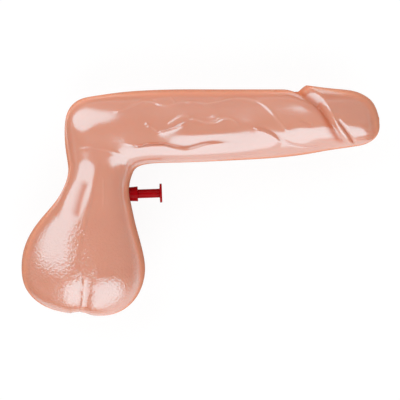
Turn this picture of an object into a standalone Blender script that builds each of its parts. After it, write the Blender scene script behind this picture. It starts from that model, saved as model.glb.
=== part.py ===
# Water squirter: a hollow moulded body in two halves around a push pump.
# It lies on its left side: +X runs to the nozzle, +Y up the grip, +Z to the right side.
# All sizes are in millimetres and become metres when a mesh is made.

import math

import bmesh
import bpy
from mathutils import Matrix, Vector

MM = 0.001

# Body outline
BARREL_TOP = 61.05
REAR = -74.5
BULB_REAR = -98.0
BULB_FRONT = -30.9
BULB_BOTTOM = -62.9
TIP_X = 98.3
TIP_DROP = 17.75
TIP_Y = BARREL_TOP - TIP_DROP
NECK_FRONT = -39.2
BARREL_DEPTH = 19.6
HEAD_DEPTH = 21.0
NECK_DEPTH = 18.6
BULB_DEPTH = 23.0
BULB_MIDDLE = (BULB_REAR + BULB_FRONT) / 2.0
BULB_HALF = (BULB_FRONT - BULB_REAR) / 2.0
SQUARENESS = 2.2

# Body walls and the stepped joint between the halves
WALL = 2.2
LAND = 1.35
LIP_HEIGHT = 1.0
LIP_SIDE_GAP = 0.15
LIP_TOP_GAP = 0.2
RIB_THICK = 1.4
RIB_END_GAP = 0.15
SEAT_GAP = 0.15

# Ridge behind the head, and the lobes of the bulb
RIDGE_HEIGHT = 2.25
RIDGE_RUN = 16.0
RIDGE_BEVEL = 3.5
RIDGE_GROOVE = 1.7
RIDGE_GROOVE_RUN = 6.0
LOBE_HEIGHT = 1.4
LOBE_RADIUS = 17.0
RAPHE_DEPTH = 1.1
RAPHE_WIDTH = 4.0
FOLD_DEPTH = 0.7
FOLD_WIDTH = 3.5

# Push pump, measured outward from the neck's front
PUMP_TILT = math.radians(2.0)
PUMP_Y = 3.43
DISC_DIA = 10.5
DISC_THICK = 1.3
DISC_FACE = 18.1
ROD_DIA = 4.9
COLLAR_DIA = 7.7
COLLAR_END_DIA = 8.3
COLLAR_OUT = 4.8
COLLAR_HOLE_GAP = 0.2
STROKE = 10.2
BOSS_FACE = -3.4
BOSS_DIA = 13.0
GASKET_THICK = 1.2
GASKET_DIA = 11.0
FLANGE_THICK = 1.2
FLANGE_DIA = 11.4
CYLINDER_DIA = 9.6
BORE_DIA = 7.0
CYLINDER_END = 0.8
PISTON_DIA = 6.6
PISTON_LENGTH = 4.0
RING_WIRE = 1.3
RING_GAP = 0.1
RUN_GAP = 0.15
TOUCH = 0.05
EDGE = 0.3
DISC_BACK_EDGE = 0.2
ROD_FILLET = 0.6
ROUND_SIDES = 32

# Return spring
SPRING_WIRE = 0.6
SPRING_DIA = 6.2
SPRING_TURNS = 6
SPRING_POINTS_A_TURN = 10
SPRING_SIDES = 6

# Valves
BLOCK_LENGTH = 5.4
BLOCK_HALF_HEIGHT = 7.0
BLOCK_HALF_DEPTH = 4.0
BLOCK_EDGE = 0.4
CHANNEL_DIA = 3.6
PORT_DIA = 1.8
BALL_DIA = 3.0
BALL_LIFT = 1.1
SHELF_LOW = 0.9
SHELF_THICK = 1.4
SHELF_HOLE = 1.6
SPIGOT_BORE = 1.2
SPIGOT_FLANGE_DIA = 5.4
SPIGOT_FLANGE = 1.2
SPIGOT_TAIL = 5.0
SPIGOT_GAP = 0.1
STOP_SLOT_HALF = 0.4
VALVE_SIDES = 20

# Tubes and nozzle
TUBE_DIA = 4.0
TUBE_BORE = 2.4
TUBE_END_GAP = 0.1
TUBE_STRAIGHT = 0.5
TUBE_SIDES = 14
DELIVERY_LEVEL_X = -47.0
DELIVERY_BENDS = (15.0, 11.0)
SUCTION_END = (-62.0, -54.0)
SUCTION_BEND = 12.0
SUCTION_LEAN = 0.12
NOZZLE_DIA = 5.0
NOZZLE_FLANGE_DIA = 7.4
NOZZLE_FLANGE = 1.2
NOZZLE_LENGTH = 4.3
NOZZLE_JET = 1.2
NOZZLE_SIDES = 24

# Ribs inside the halves
SADDLE_HALF = 8.0
SADDLE_INSET = (1.6, 3.0)
NOZZLE_RIB_BEHIND = 4.8
NOZZLE_RIB_HALF = 7.0
TUBE_RIBS_X = (50.0, 5.0, -35.0)
TUBE_RIB_HALF = 5.0
SUCTION_RIB_Y = -30.0
SUCTION_SEAT_GAP = 0.35
PAST = 0.5

# Filler plug on the left side
PLUG_X = -56.0
PLUG_Y = 25.0
PLUG_HEAD_DIA = 9.0
PLUG_HEAD = 1.2
PLUG_STEM_DIA = 5.6
PLUG_STEM = 3.4
PLUG_GAP = 0.2
PLUG_BOSS_DIA = 13.0
PLUG_BOSS_DEEP = 4.2
PLUG_EDGE = 0.4
PLUG_SIDES = 28


# Cross-sections of the body from the nozzle tip to the bottom of the bulb. Each one runs
# from a point on the outer outline to a point on the inner outline, and its third entry
# is the depth of one half there.


def head_section(outer_behind, outer_drop, inner_behind, inner_drop, depth):
    # Measured back from the tip and down from the barrel's top.
    outer = (TIP_X - outer_behind, BARREL_TOP - outer_drop)
    return outer, (TIP_X - inner_behind, BARREL_TOP - inner_drop), depth


def barrel_section(outer_x, outer_drop, inner_x, inner_drop, depth):
    return (outer_x, BARREL_TOP - outer_drop), (inner_x, BARREL_TOP - inner_drop), depth


def neck_section(rear_in, rear_y, front_out, front_y, depth):
    # Measured forward from the neck's rear and from its front.
    return (REAR + rear_in, rear_y), (NECK_FRONT + front_out, front_y), depth


def bulb_section(rear_share, rear_up, front_share, front_up, depth_share):
    # Shares of the bulb's half width and depth, and heights above its bottom.
    rear = (BULB_MIDDLE - rear_share * BULB_HALF, BULB_BOTTOM + rear_up)
    front = (BULB_MIDDLE + front_share * BULB_HALF, BULB_BOTTOM + front_up)
    return rear, front, depth_share * BULB_DEPTH


SECTIONS = [
    head_section(0.0, TIP_DROP, 0.0, TIP_DROP, 0.0),
    head_section(0.4, 14.85, 0.4, 21.25, 3.2),
    head_section(1.8, 10.35, 1.5, 24.75, 7.2),
    head_section(4.3, 6.25, 3.4, 27.45, 10.7),
    head_section(8.7, 2.95, 6.0, 29.35, 13.9),
    head_section(15.3, 0.65, 9.1, 30.55, 16.4),
    head_section(24.8, 0.0, 12.1, 31.15, 19.0),
    head_section(34.8, 0.0, 15.1, 31.65, 20.6),
    head_section(44.3, 0.0, 19.3, 32.25, HEAD_DEPTH),
    head_section(55.3, 0.0, 26.8, 33.35, 20.2),
    barrel_section(28.0, 0.0, 57.0, 35.85, 19.5),
    barrel_section(8.0, 0.0, 34.0, 38.15, 19.1),
    barrel_section(-12.0, 0.0, 9.0, 39.45, 19.3),
    barrel_section(-30.0, 0.55, -12.0, 40.25, BARREL_DEPTH),
    barrel_section(-46.0, 1.85, -25.5, 40.65, 20.1),
    barrel_section(-59.0, 3.75, -32.6, 41.85, 20.2),
    neck_section(6.5, 54.6, 3.5, 17.5, 19.9),
    neck_section(1.9, 49.4, 2.2, 15.6, 19.6),
    neck_section(0.2, 41.8, 1.3, 13.3, 19.3),
    neck_section(0.0, 32.0, 0.5, 10.6, 19.0),
    neck_section(1.2, 22.5, 0.1, 7.9, 18.8),
    neck_section(1.9, 14.5, 0.0, 5.0, NECK_DEPTH),
    neck_section(-0.7, 6.0, 0.4, 1.2, NECK_DEPTH),
    bulb_section(0.505, 60.1, 0.794, 59.3, 0.83),
    bulb_section(0.717, 51.7, 0.842, 51.7, 0.887),
    bulb_section(0.887, 42.9, 0.911, 42.7, 0.948),
    bulb_section(0.979, 33.9, 0.976, 33.3, 0.987),
    bulb_section(1.0, 24.4, 1.0, 24.3, 1.0),
    bulb_section(0.934, 14.9, 0.937, 14.9, 0.952),
    bulb_section(0.779, 8.4, 0.821, 8.2, 0.835),
    bulb_section(0.583, 4.3, 0.663, 3.4, 0.687),
    bulb_section(0.38, 2.1, 0.46, 0.5, 0.487),
    bulb_section(0.213, 1.4, 0.207, 0.0, 0.252),
    bulb_section(0.046, 0.9, -0.046, 0.9, 0.0),
]

# Rows added between neighbouring sections, closer where the ridge lies.
ROWS_BETWEEN = 1
RIDGE_ROWS_BETWEEN = 5
RIDGE_SECTIONS = (6, 9)
STEPS_AROUND = 14

# The ridge's crest in the side view, as (behind the tip, below the barrel's top), with
# the places where the ridge starts to fade and where it is gone.
RIDGE_CREST = [
    (44.3, -5.0),
    (40.9, -0.6),
    (34.7, 4.6),
    (29.7, 10.3),
    (26.5, 16.1),
    (22.8, 22.6),
    (17.8, 28.7),
    (13.3, 33.6),
]
RIDGE_FADE = (9.0, 25.0)
RIDGE_END = (26.5, 31.5)
RIDGE_LOW_PART = 0.3
RIDGE_LOW_WIDTH = 0.6
RIDGE_LINE = [(TIP_X - behind, BARREL_TOP - drop) for behind, drop in RIDGE_CREST]
RAPHE_LINE = [
    (BULB_MIDDLE + 2.9, BULB_BOTTOM + 26.9),
    (BULB_MIDDLE + 0.4, BULB_BOTTOM + 14.9),
    (BULB_MIDDLE - 1.6, BULB_BOTTOM - 3.1),
]
FRONT_LOBE = (BULB_MIDDLE + 15.4, BULB_BOTTOM + 20.9)
REAR_LOBE = (BULB_MIDDLE - 13.6, BULB_BOTTOM + 24.9)
FOLD_POINTS = [(-40.0, 30.9), (-20.4, 30.0), (-7.8, 31.6), (4.8, 29.0), (17.5, 28.8)]
FOLD_LINE = [(x, BARREL_TOP - drop) for x, drop in FOLD_POINTS]


def clear_scene():
    for obj in list(bpy.data.objects):
        bpy.data.objects.remove(obj, do_unlink=True)


def material(name, colour, roughness, metallic=0.0):
    mat = bpy.data.materials.new(name)
    mat.use_nodes = True
    shader = mat.node_tree.nodes["Principled BSDF"]
    shader.inputs["Base Color"].default_value = (*colour, 1.0)
    shader.inputs["Roughness"].default_value = roughness
    shader.inputs["Metallic"].default_value = metallic
    mat.diffuse_color = (*colour, 1.0)
    return mat


def cubic_through(knots, values):
    # A natural cubic curve through the values, smooth in slope and bend.
    count = len(knots)
    gaps = [knots[i + 1] - knots[i] for i in range(count - 1)]
    bend = [0.0] * count
    upper = [0.0] * count
    right = [0.0] * count
    for i in range(1, count - 1):
        rise = (values[i + 1] - values[i]) / gaps[i] - (values[i] - values[i - 1]) / gaps[i - 1]
        pivot = 2.0 * (gaps[i - 1] + gaps[i]) - gaps[i - 1] * upper[i - 1]
        upper[i] = gaps[i] / pivot
        right[i] = (6.0 * rise - gaps[i - 1] * right[i - 1]) / pivot
    for i in range(count - 2, 0, -1):
        bend[i] = right[i] - upper[i] * bend[i + 1]

    def at(knot):
        i = 0
        while i < count - 2 and knot > knots[i + 1]:
            i += 1
        gap = gaps[i]
        before = (knots[i + 1] - knot) / gap
        after = (knot - knots[i]) / gap
        curve = (before**3 - before) * bend[i] + (after**3 - after) * bend[i + 1]
        return before * values[i] + after * values[i + 1] + curve * gap * gap / 6.0

    return at


def section_knots():
    knots = [0.0]
    for (outer0, inner0, _), (outer1, inner1, _) in zip(SECTIONS, SECTIONS[1:]):
        step = (math.dist(outer0, outer1) + math.dist(inner0, inner1)) / 2.0
        knots.append(knots[-1] + step)
    return knots


KNOTS = section_knots()
OUTER_X = cubic_through(KNOTS, [s[0][0] for s in SECTIONS])
OUTER_Y = cubic_through(KNOTS, [s[0][1] for s in SECTIONS])
INNER_X = cubic_through(KNOTS, [s[1][0] for s in SECTIONS])
INNER_Y = cubic_through(KNOTS, [s[1][1] for s in SECTIONS])
DEPTH = cubic_through(KNOTS, [s[2] for s in SECTIONS])


def signed_power(value, power):
    return math.copysign(abs(value) ** power, value)


def base_point(knot, angle):
    # Angle 0 lies on the outer outline, pi on the inner one, both in the parting plane.
    outer = Vector((OUTER_X(knot), OUTER_Y(knot), 0.0))
    inner = Vector((INNER_X(knot), INNER_Y(knot), 0.0))
    across = signed_power(math.cos(angle), 2.0 / SQUARENESS)
    up = signed_power(math.sin(angle), 2.0 / SQUARENESS)
    return (outer + inner) / 2.0 + (outer - inner) / 2.0 * across + Vector((0, 0, DEPTH(knot) * up))


def base_normal(knot, angle):
    small = 0.05
    turn = 0.04
    first = max(knot, 2.0 * small)
    first = min(first, KNOTS[-1] - 2.0 * small)
    along = base_point(first + small, angle) - base_point(first - small, angle)
    around = base_point(first, angle + turn) - base_point(first, angle - turn)
    return along.cross(around).normalized()


def distance_to_line(line, x, y):
    # Distance to a line of points, positive on its left.
    best = math.inf
    side = 1.0
    for (ax, ay), (bx, by) in zip(line, line[1:]):
        dx = bx - ax
        dy = by - ay
        part = ((x - ax) * dx + (y - ay) * dy) / (dx * dx + dy * dy)
        part = max(0.0, min(1.0, part))
        away = math.hypot(x - ax - part * dx, y - ay - part * dy)
        if away < best:
            best = away
            side = math.copysign(1.0, dx * (y - ay) - dy * (x - ax))
    return best * side


def smooth_step(value):
    value = max(0.0, min(1.0, value))
    return value * value * (3.0 - 2.0 * value)


def ridge_profile(ahead, width):
    # A crest that slopes away to the front, with a bevel and a groove behind it.
    if ahead >= 0.0:
        return RIDGE_HEIGHT * max(0.0, 1.0 - ahead / RIDGE_RUN) ** 2
    behind = -ahead / width
    if behind < RIDGE_BEVEL:
        return RIDGE_HEIGHT - (RIDGE_HEIGHT + RIDGE_GROOVE) * smooth_step(behind / RIDGE_BEVEL)
    return -RIDGE_GROOVE * max(0.0, 1.0 - (behind - RIDGE_BEVEL) / RIDGE_GROOVE_RUN) ** 2


def share_between(value, first, last):
    return smooth_step((value - first) / (last - first))


def bump(x, y, centre, radius):
    return math.exp(-((math.dist((x, y), centre) / radius) ** 2))


def relief(x, y):
    drop = BARREL_TOP - y
    fade = share_between(drop, *RIDGE_FADE)
    keep = (1.0 - (1.0 - RIDGE_LOW_PART) * fade) * (1.0 - share_between(drop, *RIDGE_END))
    aside = distance_to_line(RIDGE_LINE, x, y)
    raised = keep * ridge_profile(aside, 1.0 - (1.0 - RIDGE_LOW_WIDTH) * fade)
    for lobe in (FRONT_LOBE, REAR_LOBE):
        raised += LOBE_HEIGHT * bump(x, y, lobe, LOBE_RADIUS)
    aside = distance_to_line(RAPHE_LINE, x, y)
    raised -= RAPHE_DEPTH * math.exp(-((aside / RAPHE_WIDTH) ** 2))
    aside = distance_to_line(FOLD_LINE, x, y)
    raised -= FOLD_DEPTH * math.exp(-((aside / FOLD_WIDTH) ** 2))
    return raised


def body_rows():
    rows = []
    for i in range(len(SECTIONS) - 1):
        first, last = RIDGE_SECTIONS
        between = RIDGE_ROWS_BETWEEN if first <= i < last else ROWS_BETWEEN
        for k in range(between + 1):
            rows.append(KNOTS[i] + (KNOTS[i + 1] - KNOTS[i]) * k / (between + 1))
    rows.append(KNOTS[-1])
    return rows


def smooth_grid():
    # Rows of (point, direction) over one half; the first and last rows are single poles.
    rows = body_rows()
    grid = []
    for r, knot in enumerate(rows):
        pole = r in (0, len(rows) - 1)
        line = []
        for k in range(1 if pole else STEPS_AROUND + 1):
            angle = math.pi * k / STEPS_AROUND
            if pole:
                toward = Vector((1, 0, 0)) if r == 0 else Vector((0, -1, 0))
            else:
                toward = base_normal(knot, angle)
            if k in (0, STEPS_AROUND):
                toward = Vector((toward.x, toward.y, 0.0)).normalized()
            line.append((base_point(knot, angle), toward))
        grid.append(line)
    return grid


SMOOTH_GRID = smooth_grid()


def bowl_points(inset, with_relief):
    return [
        [p + n * ((relief(p.x, p.y) if with_relief else 0.0) - inset) for p, n in line]
        for line in SMOOTH_GRID
    ]


OUTER_GRID = bowl_points(0.0, True)
INNER_GRID = bowl_points(WALL, False)
CORE_GRID = bowl_points(WALL / 2.0, False)
PARTING = max(p.z for line in OUTER_GRID for p in line)
INNER_DEPTH = max(p.z for line in INNER_GRID for p in line)


def rim_ring(inset):
    # The closed loop around the outline, set in from the smooth surface.
    grid = bowl_points(inset, False)
    front = [line[0] for line in grid]
    back = [line[-1] for line in grid[1:-1]]
    return front + back[::-1]


def grid_rim(verts):
    front = [line[0] for line in verts]
    back = [line[-1] for line in verts[1:-1]]
    return front + back[::-1]


def add_grid(bm, grid, place):
    return [[bm.verts.new(place(p) * MM) for p in line] for line in grid]


def skin(bm, verts, flip):
    def face(*corners):
        bm.faces.new(corners[::-1] if flip else corners)

    steps = len(verts[1])
    for k in range(steps - 1):
        face(verts[0][0], verts[1][k], verts[1][k + 1])
        face(verts[-1][0], verts[-2][k + 1], verts[-2][k])
    for r in range(1, len(verts) - 2):
        for k in range(steps - 1):
            face(verts[r][k], verts[r + 1][k], verts[r + 1][k + 1], verts[r][k + 1])


def band(bm, ring0, ring1, flip):
    count = len(ring0)
    for i in range(count):
        j = (i + 1) % count
        corners = (ring0[i], ring0[j], ring1[j], ring1[i])
        bm.faces.new(corners[::-1] if flip else corners)


def make_object(name, bm, mats, parent=None):
    bmesh.ops.recalc_face_normals(bm, faces=bm.faces)
    mesh = bpy.data.meshes.new(name)
    bm.to_mesh(mesh)
    bm.free()
    obj = bpy.data.objects.new(name, mesh)
    bpy.context.collection.objects.link(obj)
    for mat in mats:
        mesh.materials.append(mat)
    obj.parent = parent
    return obj


def shade(obj, degrees=35.0):
    for polygon in obj.data.polygons:
        polygon.use_smooth = True
    obj.data.set_sharp_from_angle(angle=math.radians(degrees))


def apply_boolean(obj, other, operation):
    mod = obj.modifiers.new(operation.title(), "BOOLEAN")
    mod.operation = operation
    mod.solver = "EXACT"
    mod.object = other
    bpy.context.view_layer.update()
    graph = bpy.context.evaluated_depsgraph_get()
    mesh = bpy.data.meshes.new_from_object(obj.evaluated_get(graph))
    obj.modifiers.remove(mod)
    old = obj.data
    obj.data = mesh
    mesh.name = obj.name
    bpy.data.meshes.remove(old)
    bpy.data.objects.remove(other, do_unlink=True)


def make_half(name, side, mat):
    # Side +1 is the right half with the rebate, -1 the left half with the lip.
    if side > 0:
        step = LIP_HEIGHT + LIP_TOP_GAP
        middle = rim_ring(LAND)
    else:
        step = LIP_HEIGHT
        middle = rim_ring(LAND + LIP_SIDE_GAP)

    def outside(p):
        return Vector((p.x, p.y, PARTING + side * p.z))

    def inside(p):
        share = p.z / INNER_DEPTH
        return Vector((p.x, p.y, PARTING + step * (1.0 - share) + side * p.z))

    bm = bmesh.new()
    outer = add_grid(bm, OUTER_GRID, outside)
    inner = add_grid(bm, INNER_GRID, inside)
    skin(bm, outer, side < 0)
    skin(bm, inner, side > 0)
    low = [bm.verts.new(Vector((p.x, p.y, PARTING)) * MM) for p in middle]
    high = [bm.verts.new(Vector((p.x, p.y, PARTING + step)) * MM) for p in middle]
    band(bm, grid_rim(outer), low, side < 0)
    band(bm, low, high, side < 0)
    band(bm, high, grid_rim(inner), side < 0)
    return make_object(name, bm, [mat])


def make_core(side):
    # A solid that ends halfway through the wall, to trim what is moulded inside.
    bm = bmesh.new()
    verts = add_grid(bm, CORE_GRID, lambda p: Vector((p.x, p.y, PARTING + side * p.z)))
    skin(bm, verts, side < 0)
    bm.faces.new(grid_rim(verts))
    return make_object("core", bm, [])


def box(name, low, high, frame=Matrix.Identity(4)):
    bm = bmesh.new()
    corners = [(x, y, z) for x in (0, 1) for y in (0, 1) for z in (0, 1)]
    made = []
    for x, y, z in corners:
        point = Vector(((low, high)[x][0], (low, high)[y][1], (low, high)[z][2]))
        made.append(bm.verts.new(frame @ (point * MM)))
    for quad in ((0, 1, 3, 2), (4, 6, 7, 5), (0, 4, 5, 1), (2, 3, 7, 6), (0, 2, 6, 4), (1, 5, 7, 3)):
        bm.faces.new([made[i] for i in quad])
    return make_object(name, bm, [])


def turned(name, profile, sides, mats, frame=Matrix.Identity(4), parent=None, closed=True):
    # Turns (distance along, radius) pairs around local X; a closed profile makes a ring.
    bm = bmesh.new()
    rings = []
    for along, radius in profile:
        if radius < 1e-6:
            rings.append([bm.verts.new(frame @ Vector((along * MM, 0, 0)))])
            continue
        ring = []
        for k in range(sides):
            turn = 2.0 * math.pi * k / sides
            point = Vector((along, radius * math.cos(turn), radius * math.sin(turn)))
            ring.append(bm.verts.new(frame @ (point * MM)))
        rings.append(ring)
    pairs = list(zip(rings, rings[1:]))
    if closed:
        pairs.append((rings[-1], rings[0]))
    for first, second in pairs:
        for k in range(sides):
            j = (k + 1) % sides
            if len(first) == 1 and len(second) == 1:
                break
            if len(first) == 1:
                bm.faces.new((first[0], second[j], second[k]))
            elif len(second) == 1:
                bm.faces.new((first[k], first[j], second[0]))
            else:
                bm.faces.new((first[k], first[j], second[j], second[k]))
    obj = make_object(name, bm, mats, parent)
    shade(obj)
    return obj


def rod_shape(name, radius, low, high, frame, sides=32):
    profile = [(low, 0.0), (low, radius), (high, radius), (high, 0.0)]
    return turned(name, profile, sides, [], frame, None, False)


def swept_tube(name, path, tangents, radius, bore, sides, mats):
    # A hollow tube along a path that stays in one upright plane.
    bm = bmesh.new()
    outer = []
    inner = []
    for point, tangent in zip(path, tangents):
        side = Vector((-tangent.y, tangent.x, 0.0)).normalized()
        for rings, size in ((outer, radius), (inner, bore)):
            ring = []
            for k in range(sides):
                turn = 2.0 * math.pi * k / sides
                away = side * math.cos(turn) + Vector((0, 0, 1)) * math.sin(turn)
                ring.append(bm.verts.new((point + away * size) * MM))
            rings.append(ring)
    for rings, flip in ((outer, False), (inner, True)):
        for first, second in zip(rings, rings[1:]):
            band(bm, first, second, flip)
    band(bm, outer[0], inner[0], True)
    band(bm, outer[-1], inner[-1], False)
    obj = make_object(name, bm, mats)
    shade(obj)
    return obj


def bezier(start, lead, follow, end, count):
    points = []
    tangents = []
    for i in range(count + 1):
        t = i / count
        s = 1.0 - t
        points.append(s**3 * start + 3 * s * s * t * lead + 3 * s * t * t * follow + t**3 * end)
        slope = s * s * (lead - start) + 2 * s * t * (follow - lead) + t * t * (end - follow)
        tangents.append(slope.normalized())
    return points, tangents


clear_scene()

body_plastic = material("body_plastic", (0.71, 0.31, 0.21), 0.28)
plunger_red = material("plunger_red", (0.42, 0.004, 0.008), 0.25)
ring_rubber = material("ring_rubber", (0.02, 0.02, 0.02), 0.6)
pump_white = material("pump_white", (0.78, 0.78, 0.75), 0.4)
valve_white = material("valve_white", (0.72, 0.74, 0.74), 0.4)
spring_steel = material("spring_steel", (0.55, 0.55, 0.56), 0.3, 1.0)
tube_clear = material("tube_clear", (0.75, 0.78, 0.78), 0.25)
ball_steel = material("ball_steel", (0.62, 0.62, 0.64), 0.15, 1.0)
nozzle_plastic = material("nozzle_plastic", (0.75, 0.74, 0.72), 0.35)
plug_rubber = material("plug_rubber", (0.66, 0.3, 0.22), 0.5)

# The pump axis leans up a little toward the trigger disc.
pump_axis = bpy.data.objects.new("pump_axis", None)
bpy.context.collection.objects.link(pump_axis)
pump_axis.location = Vector((NECK_FRONT, PUMP_Y, PARTING)) * MM
pump_axis.rotation_euler = (0.0, 0.0, PUMP_TILT)
bpy.context.view_layer.update()
PUMP = pump_axis.matrix_world.copy()
HERE = Matrix.Identity(4)

# Positions along the pump axis, each one from its neighbour
gasket_front = BOSS_FACE - TOUCH
gasket_back = gasket_front - GASKET_THICK
mouth = gasket_back - TOUCH
flange_back = mouth - FLANGE_THICK
piston_front = mouth - TOUCH
piston_back = piston_front - PISTON_LENGTH
spring_solid = SPRING_WIRE * (SPRING_TURNS + 1)
bore_end = piston_back - STROKE - spring_solid - 2.0 * TOUCH
cylinder_back = bore_end - CYLINDER_END
block_back = cylinder_back - BLOCK_LENGTH
channel = (cylinder_back + block_back) / 2.0

# Heights along the valve channel
ball_radius = BALL_DIA / 2.0
spigot_root = BLOCK_HALF_HEIGHT + SPIGOT_FLANGE
shelf_top = SHELF_LOW + SHELF_THICK
inlet_ball_y = SHELF_LOW - TOUCH - BALL_LIFT - ball_radius
inlet_seat = inlet_ball_y - math.sqrt(ball_radius**2 - (SPIGOT_BORE / 2.0) ** 2) - TOUCH
outlet_ball_y = shelf_top + math.sqrt(ball_radius**2 - (SHELF_HOLE / 2.0) ** 2) + TOUCH
outlet_stop = outlet_ball_y + ball_radius + BALL_LIFT + TOUCH

# Radii that neighbouring pieces share
rod = ROD_DIA / 2.0
collar = COLLAR_DIA / 2.0
port = PORT_DIA / 2.0
ring_outer = BORE_DIA / 2.0 - RING_GAP
ring_centre = ring_outer - RING_WIRE / 2.0
ring_at = (piston_front + piston_back) / 2.0
spigot_round = CHANNEL_DIA / 2.0 - SPIGOT_GAP
spigot_flange = SPIGOT_FLANGE_DIA / 2.0
tube_tail = TUBE_BORE / 2.0 - TOUCH
tube_seat = TUBE_DIA / 2.0 + SEAT_GAP

# Places along the nozzle, back from the tip
nozzle_frame = Matrix.Translation(Vector((TIP_X, TIP_Y, PARTING)) * MM)
nozzle_back = -NOZZLE_LENGTH
flange_front = nozzle_back + NOZZLE_FLANGE


def surface_depth(x, y):
    near = min((p for line in OUTER_GRID for p in line), key=lambda p: math.dist((p.x, p.y), (x, y)))
    return near.z


plug_face = PARTING - surface_depth(PLUG_X, PLUG_Y)
plug_seat = plug_face + PLUG_HEAD
plug_frame = Matrix.Translation(Vector((PLUG_X, PLUG_Y, 0.0)) * MM) @ Matrix.Rotation(-math.pi / 2, 4, "Y")


def upright(across):
    # A frame in pump coordinates whose local X runs up the valve channel.
    return Matrix.Translation(Vector((across, 0, 0)) * MM) @ Matrix.Rotation(math.pi / 2, 4, "Z")


def spigot_end(height):
    return (PUMP @ (Vector((channel, height, 0)) * MM)) / MM


up_pump = (spigot_end(1.0) - spigot_end(0.0)).normalized()


def delivery_route():
    # Up from the outlet spigot, round a bend and level to the nozzle.
    to_nozzle = Vector((1, 0, 0))
    rise, lead = DELIVERY_BENDS
    start = spigot_end(spigot_root + TUBE_END_GAP)
    bend = start + up_pump * (SPIGOT_TAIL + TUBE_STRAIGHT)
    level = Vector((DELIVERY_LEVEL_X, TIP_Y, PARTING))
    front = Vector((TIP_X + nozzle_back - 4.0 * TUBE_END_GAP, TIP_Y, PARTING))
    points, slopes = bezier(bend, bend + up_pump * rise, level - to_nozzle * lead, level, 14)
    return [start] + points + [front], [up_pump] + slopes + [to_nozzle]


def suction_route():
    # Down from the inlet spigot to the bottom of the bulb.
    start = spigot_end(-spigot_root - TUBE_END_GAP)
    bend = start - up_pump * (SPIGOT_TAIL + TUBE_STRAIGHT)
    end = Vector((*SUCTION_END, PARTING))
    lean = Vector((SUCTION_LEAN, -1.0, 0.0)).normalized()
    points, slopes = bezier(bend, bend - up_pump * SUCTION_BEND, end - lean * SUCTION_BEND, end, 8)
    return [start] + points, [-up_pump] + slopes


suction_path, suction_slopes = suction_route()
delivery_path, delivery_slopes = delivery_route()
suction_rib_at = min(suction_path, key=lambda p: abs(p.y - SUCTION_RIB_Y))


def add_mouldings(half, side):
    # Ribs and bosses are trimmed to the inside of the wall, then joined to it.
    step = LIP_HEIGHT + LIP_TOP_GAP if side > 0 else 0.0
    reach = sorted((side * (step + RIB_END_GAP), side * (BULB_DEPTH + PARTING) / 1.5))
    low_z, high_z = (PARTING + end for end in reach)
    pieces = []
    for at in (flange_back - SADDLE_INSET[0], cylinder_back + SADDLE_INSET[1]):
        low = (at - RIB_THICK, -SADDLE_HALF, reach[0])
        pieces.append(box("saddle", low, (at, SADDLE_HALF, reach[1]), PUMP))
    ribs = [(TIP_X - NOZZLE_RIB_BEHIND, NOZZLE_RIB_HALF)]
    ribs += [(at, TUBE_RIB_HALF) for at in TUBE_RIBS_X]
    for at, half_width in ribs:
        low = (at - RIB_THICK, TIP_Y - half_width, low_z)
        pieces.append(box("tube_rib", low, (at, TIP_Y + half_width, high_z)))
    at = suction_rib_at
    low = (at.x - TUBE_RIB_HALF, at.y - RIB_THICK, low_z)
    pieces.append(box("suction_rib", low, (at.x + TUBE_RIB_HALF, at.y, high_z)))
    boss = rod_shape("collar_boss", BOSS_DIA / 2.0, BOSS_FACE, -BOSS_FACE, PUMP)
    keep_low = (-BOSS_DIA, -BOSS_DIA, reach[0])
    apply_boolean(boss, box("keep", keep_low, (BOSS_DIA, BOSS_DIA, reach[1]), PUMP), "INTERSECT")
    pieces.append(boss)
    if side < 0:
        deep = plug_face + PLUG_BOSS_DEEP
        pieces.append(rod_shape("plug_boss", PLUG_BOSS_DIA / 2.0, -WALL, deep, plug_frame))
    whole = pieces[0]
    for piece in pieces[1:]:
        apply_boolean(whole, piece, "UNION")
    apply_boolean(whole, make_core(side), "INTERSECT")
    apply_boolean(half, whole, "UNION")


def cut(solid, radius, low, high, frame, sides=ROUND_SIDES):
    apply_boolean(solid, rod_shape("cut", radius, low, high, frame, sides), "DIFFERENCE")


def cut_openings(half, side):
    cut(half, collar + COLLAR_HOLE_GAP, BOSS_FACE - PAST, COLLAR_OUT, PUMP)
    cut(half, CYLINDER_DIA / 2.0 + SEAT_GAP, cylinder_back + PAST, flange_back - PAST, PUMP)
    nozzle_seat = NOZZLE_DIA / 2.0 + SEAT_GAP
    cut(half, nozzle_seat, nozzle_back + EDGE, NOZZLE_LENGTH, nozzle_frame, NOZZLE_SIDES)
    flange_seat = NOZZLE_FLANGE_DIA / 2.0 + SEAT_GAP
    cut(half, flange_seat, nozzle_back - EDGE, flange_front + TOUCH, nozzle_frame, NOZZLE_SIDES)
    cut(half, tube_seat, NECK_FRONT - TIP_X - TUBE_RIB_HALF, nozzle_back, nozzle_frame, NOZZLE_SIDES)
    lying = Matrix.Translation(suction_rib_at * MM) @ Matrix.Rotation(math.pi / 2, 4, "Z")
    suction_seat = TUBE_DIA / 2.0 + SUCTION_SEAT_GAP
    cut(half, suction_seat, -TUBE_RIB_HALF, TUBE_RIB_HALF, lying, NOZZLE_SIDES)
    if side < 0:
        stem_hole = PLUG_STEM_DIA / 2.0 + PLUG_GAP
        deep = plug_face + PLUG_BOSS_DEEP + PAST
        cut(half, PLUG_HEAD_DIA / 2.0 + PLUG_GAP, -WALL, plug_seat + TOUCH, plug_frame)
        cut(half, stem_hole, plug_face, deep, plug_frame, NOZZLE_SIDES)


def make_bodies():
    for name, side in (("right_body_half", 1.0), ("left_body_half", -1.0)):
        half = make_half(name, side, body_plastic)
        add_mouldings(half, side)
        cut_openings(half, side)
        shade(half, 40.0)


def pump_piece(name, profile, mat, closed=True):
    return turned(name, profile, ROUND_SIDES, [mat], HERE, pump_axis, closed)


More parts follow.
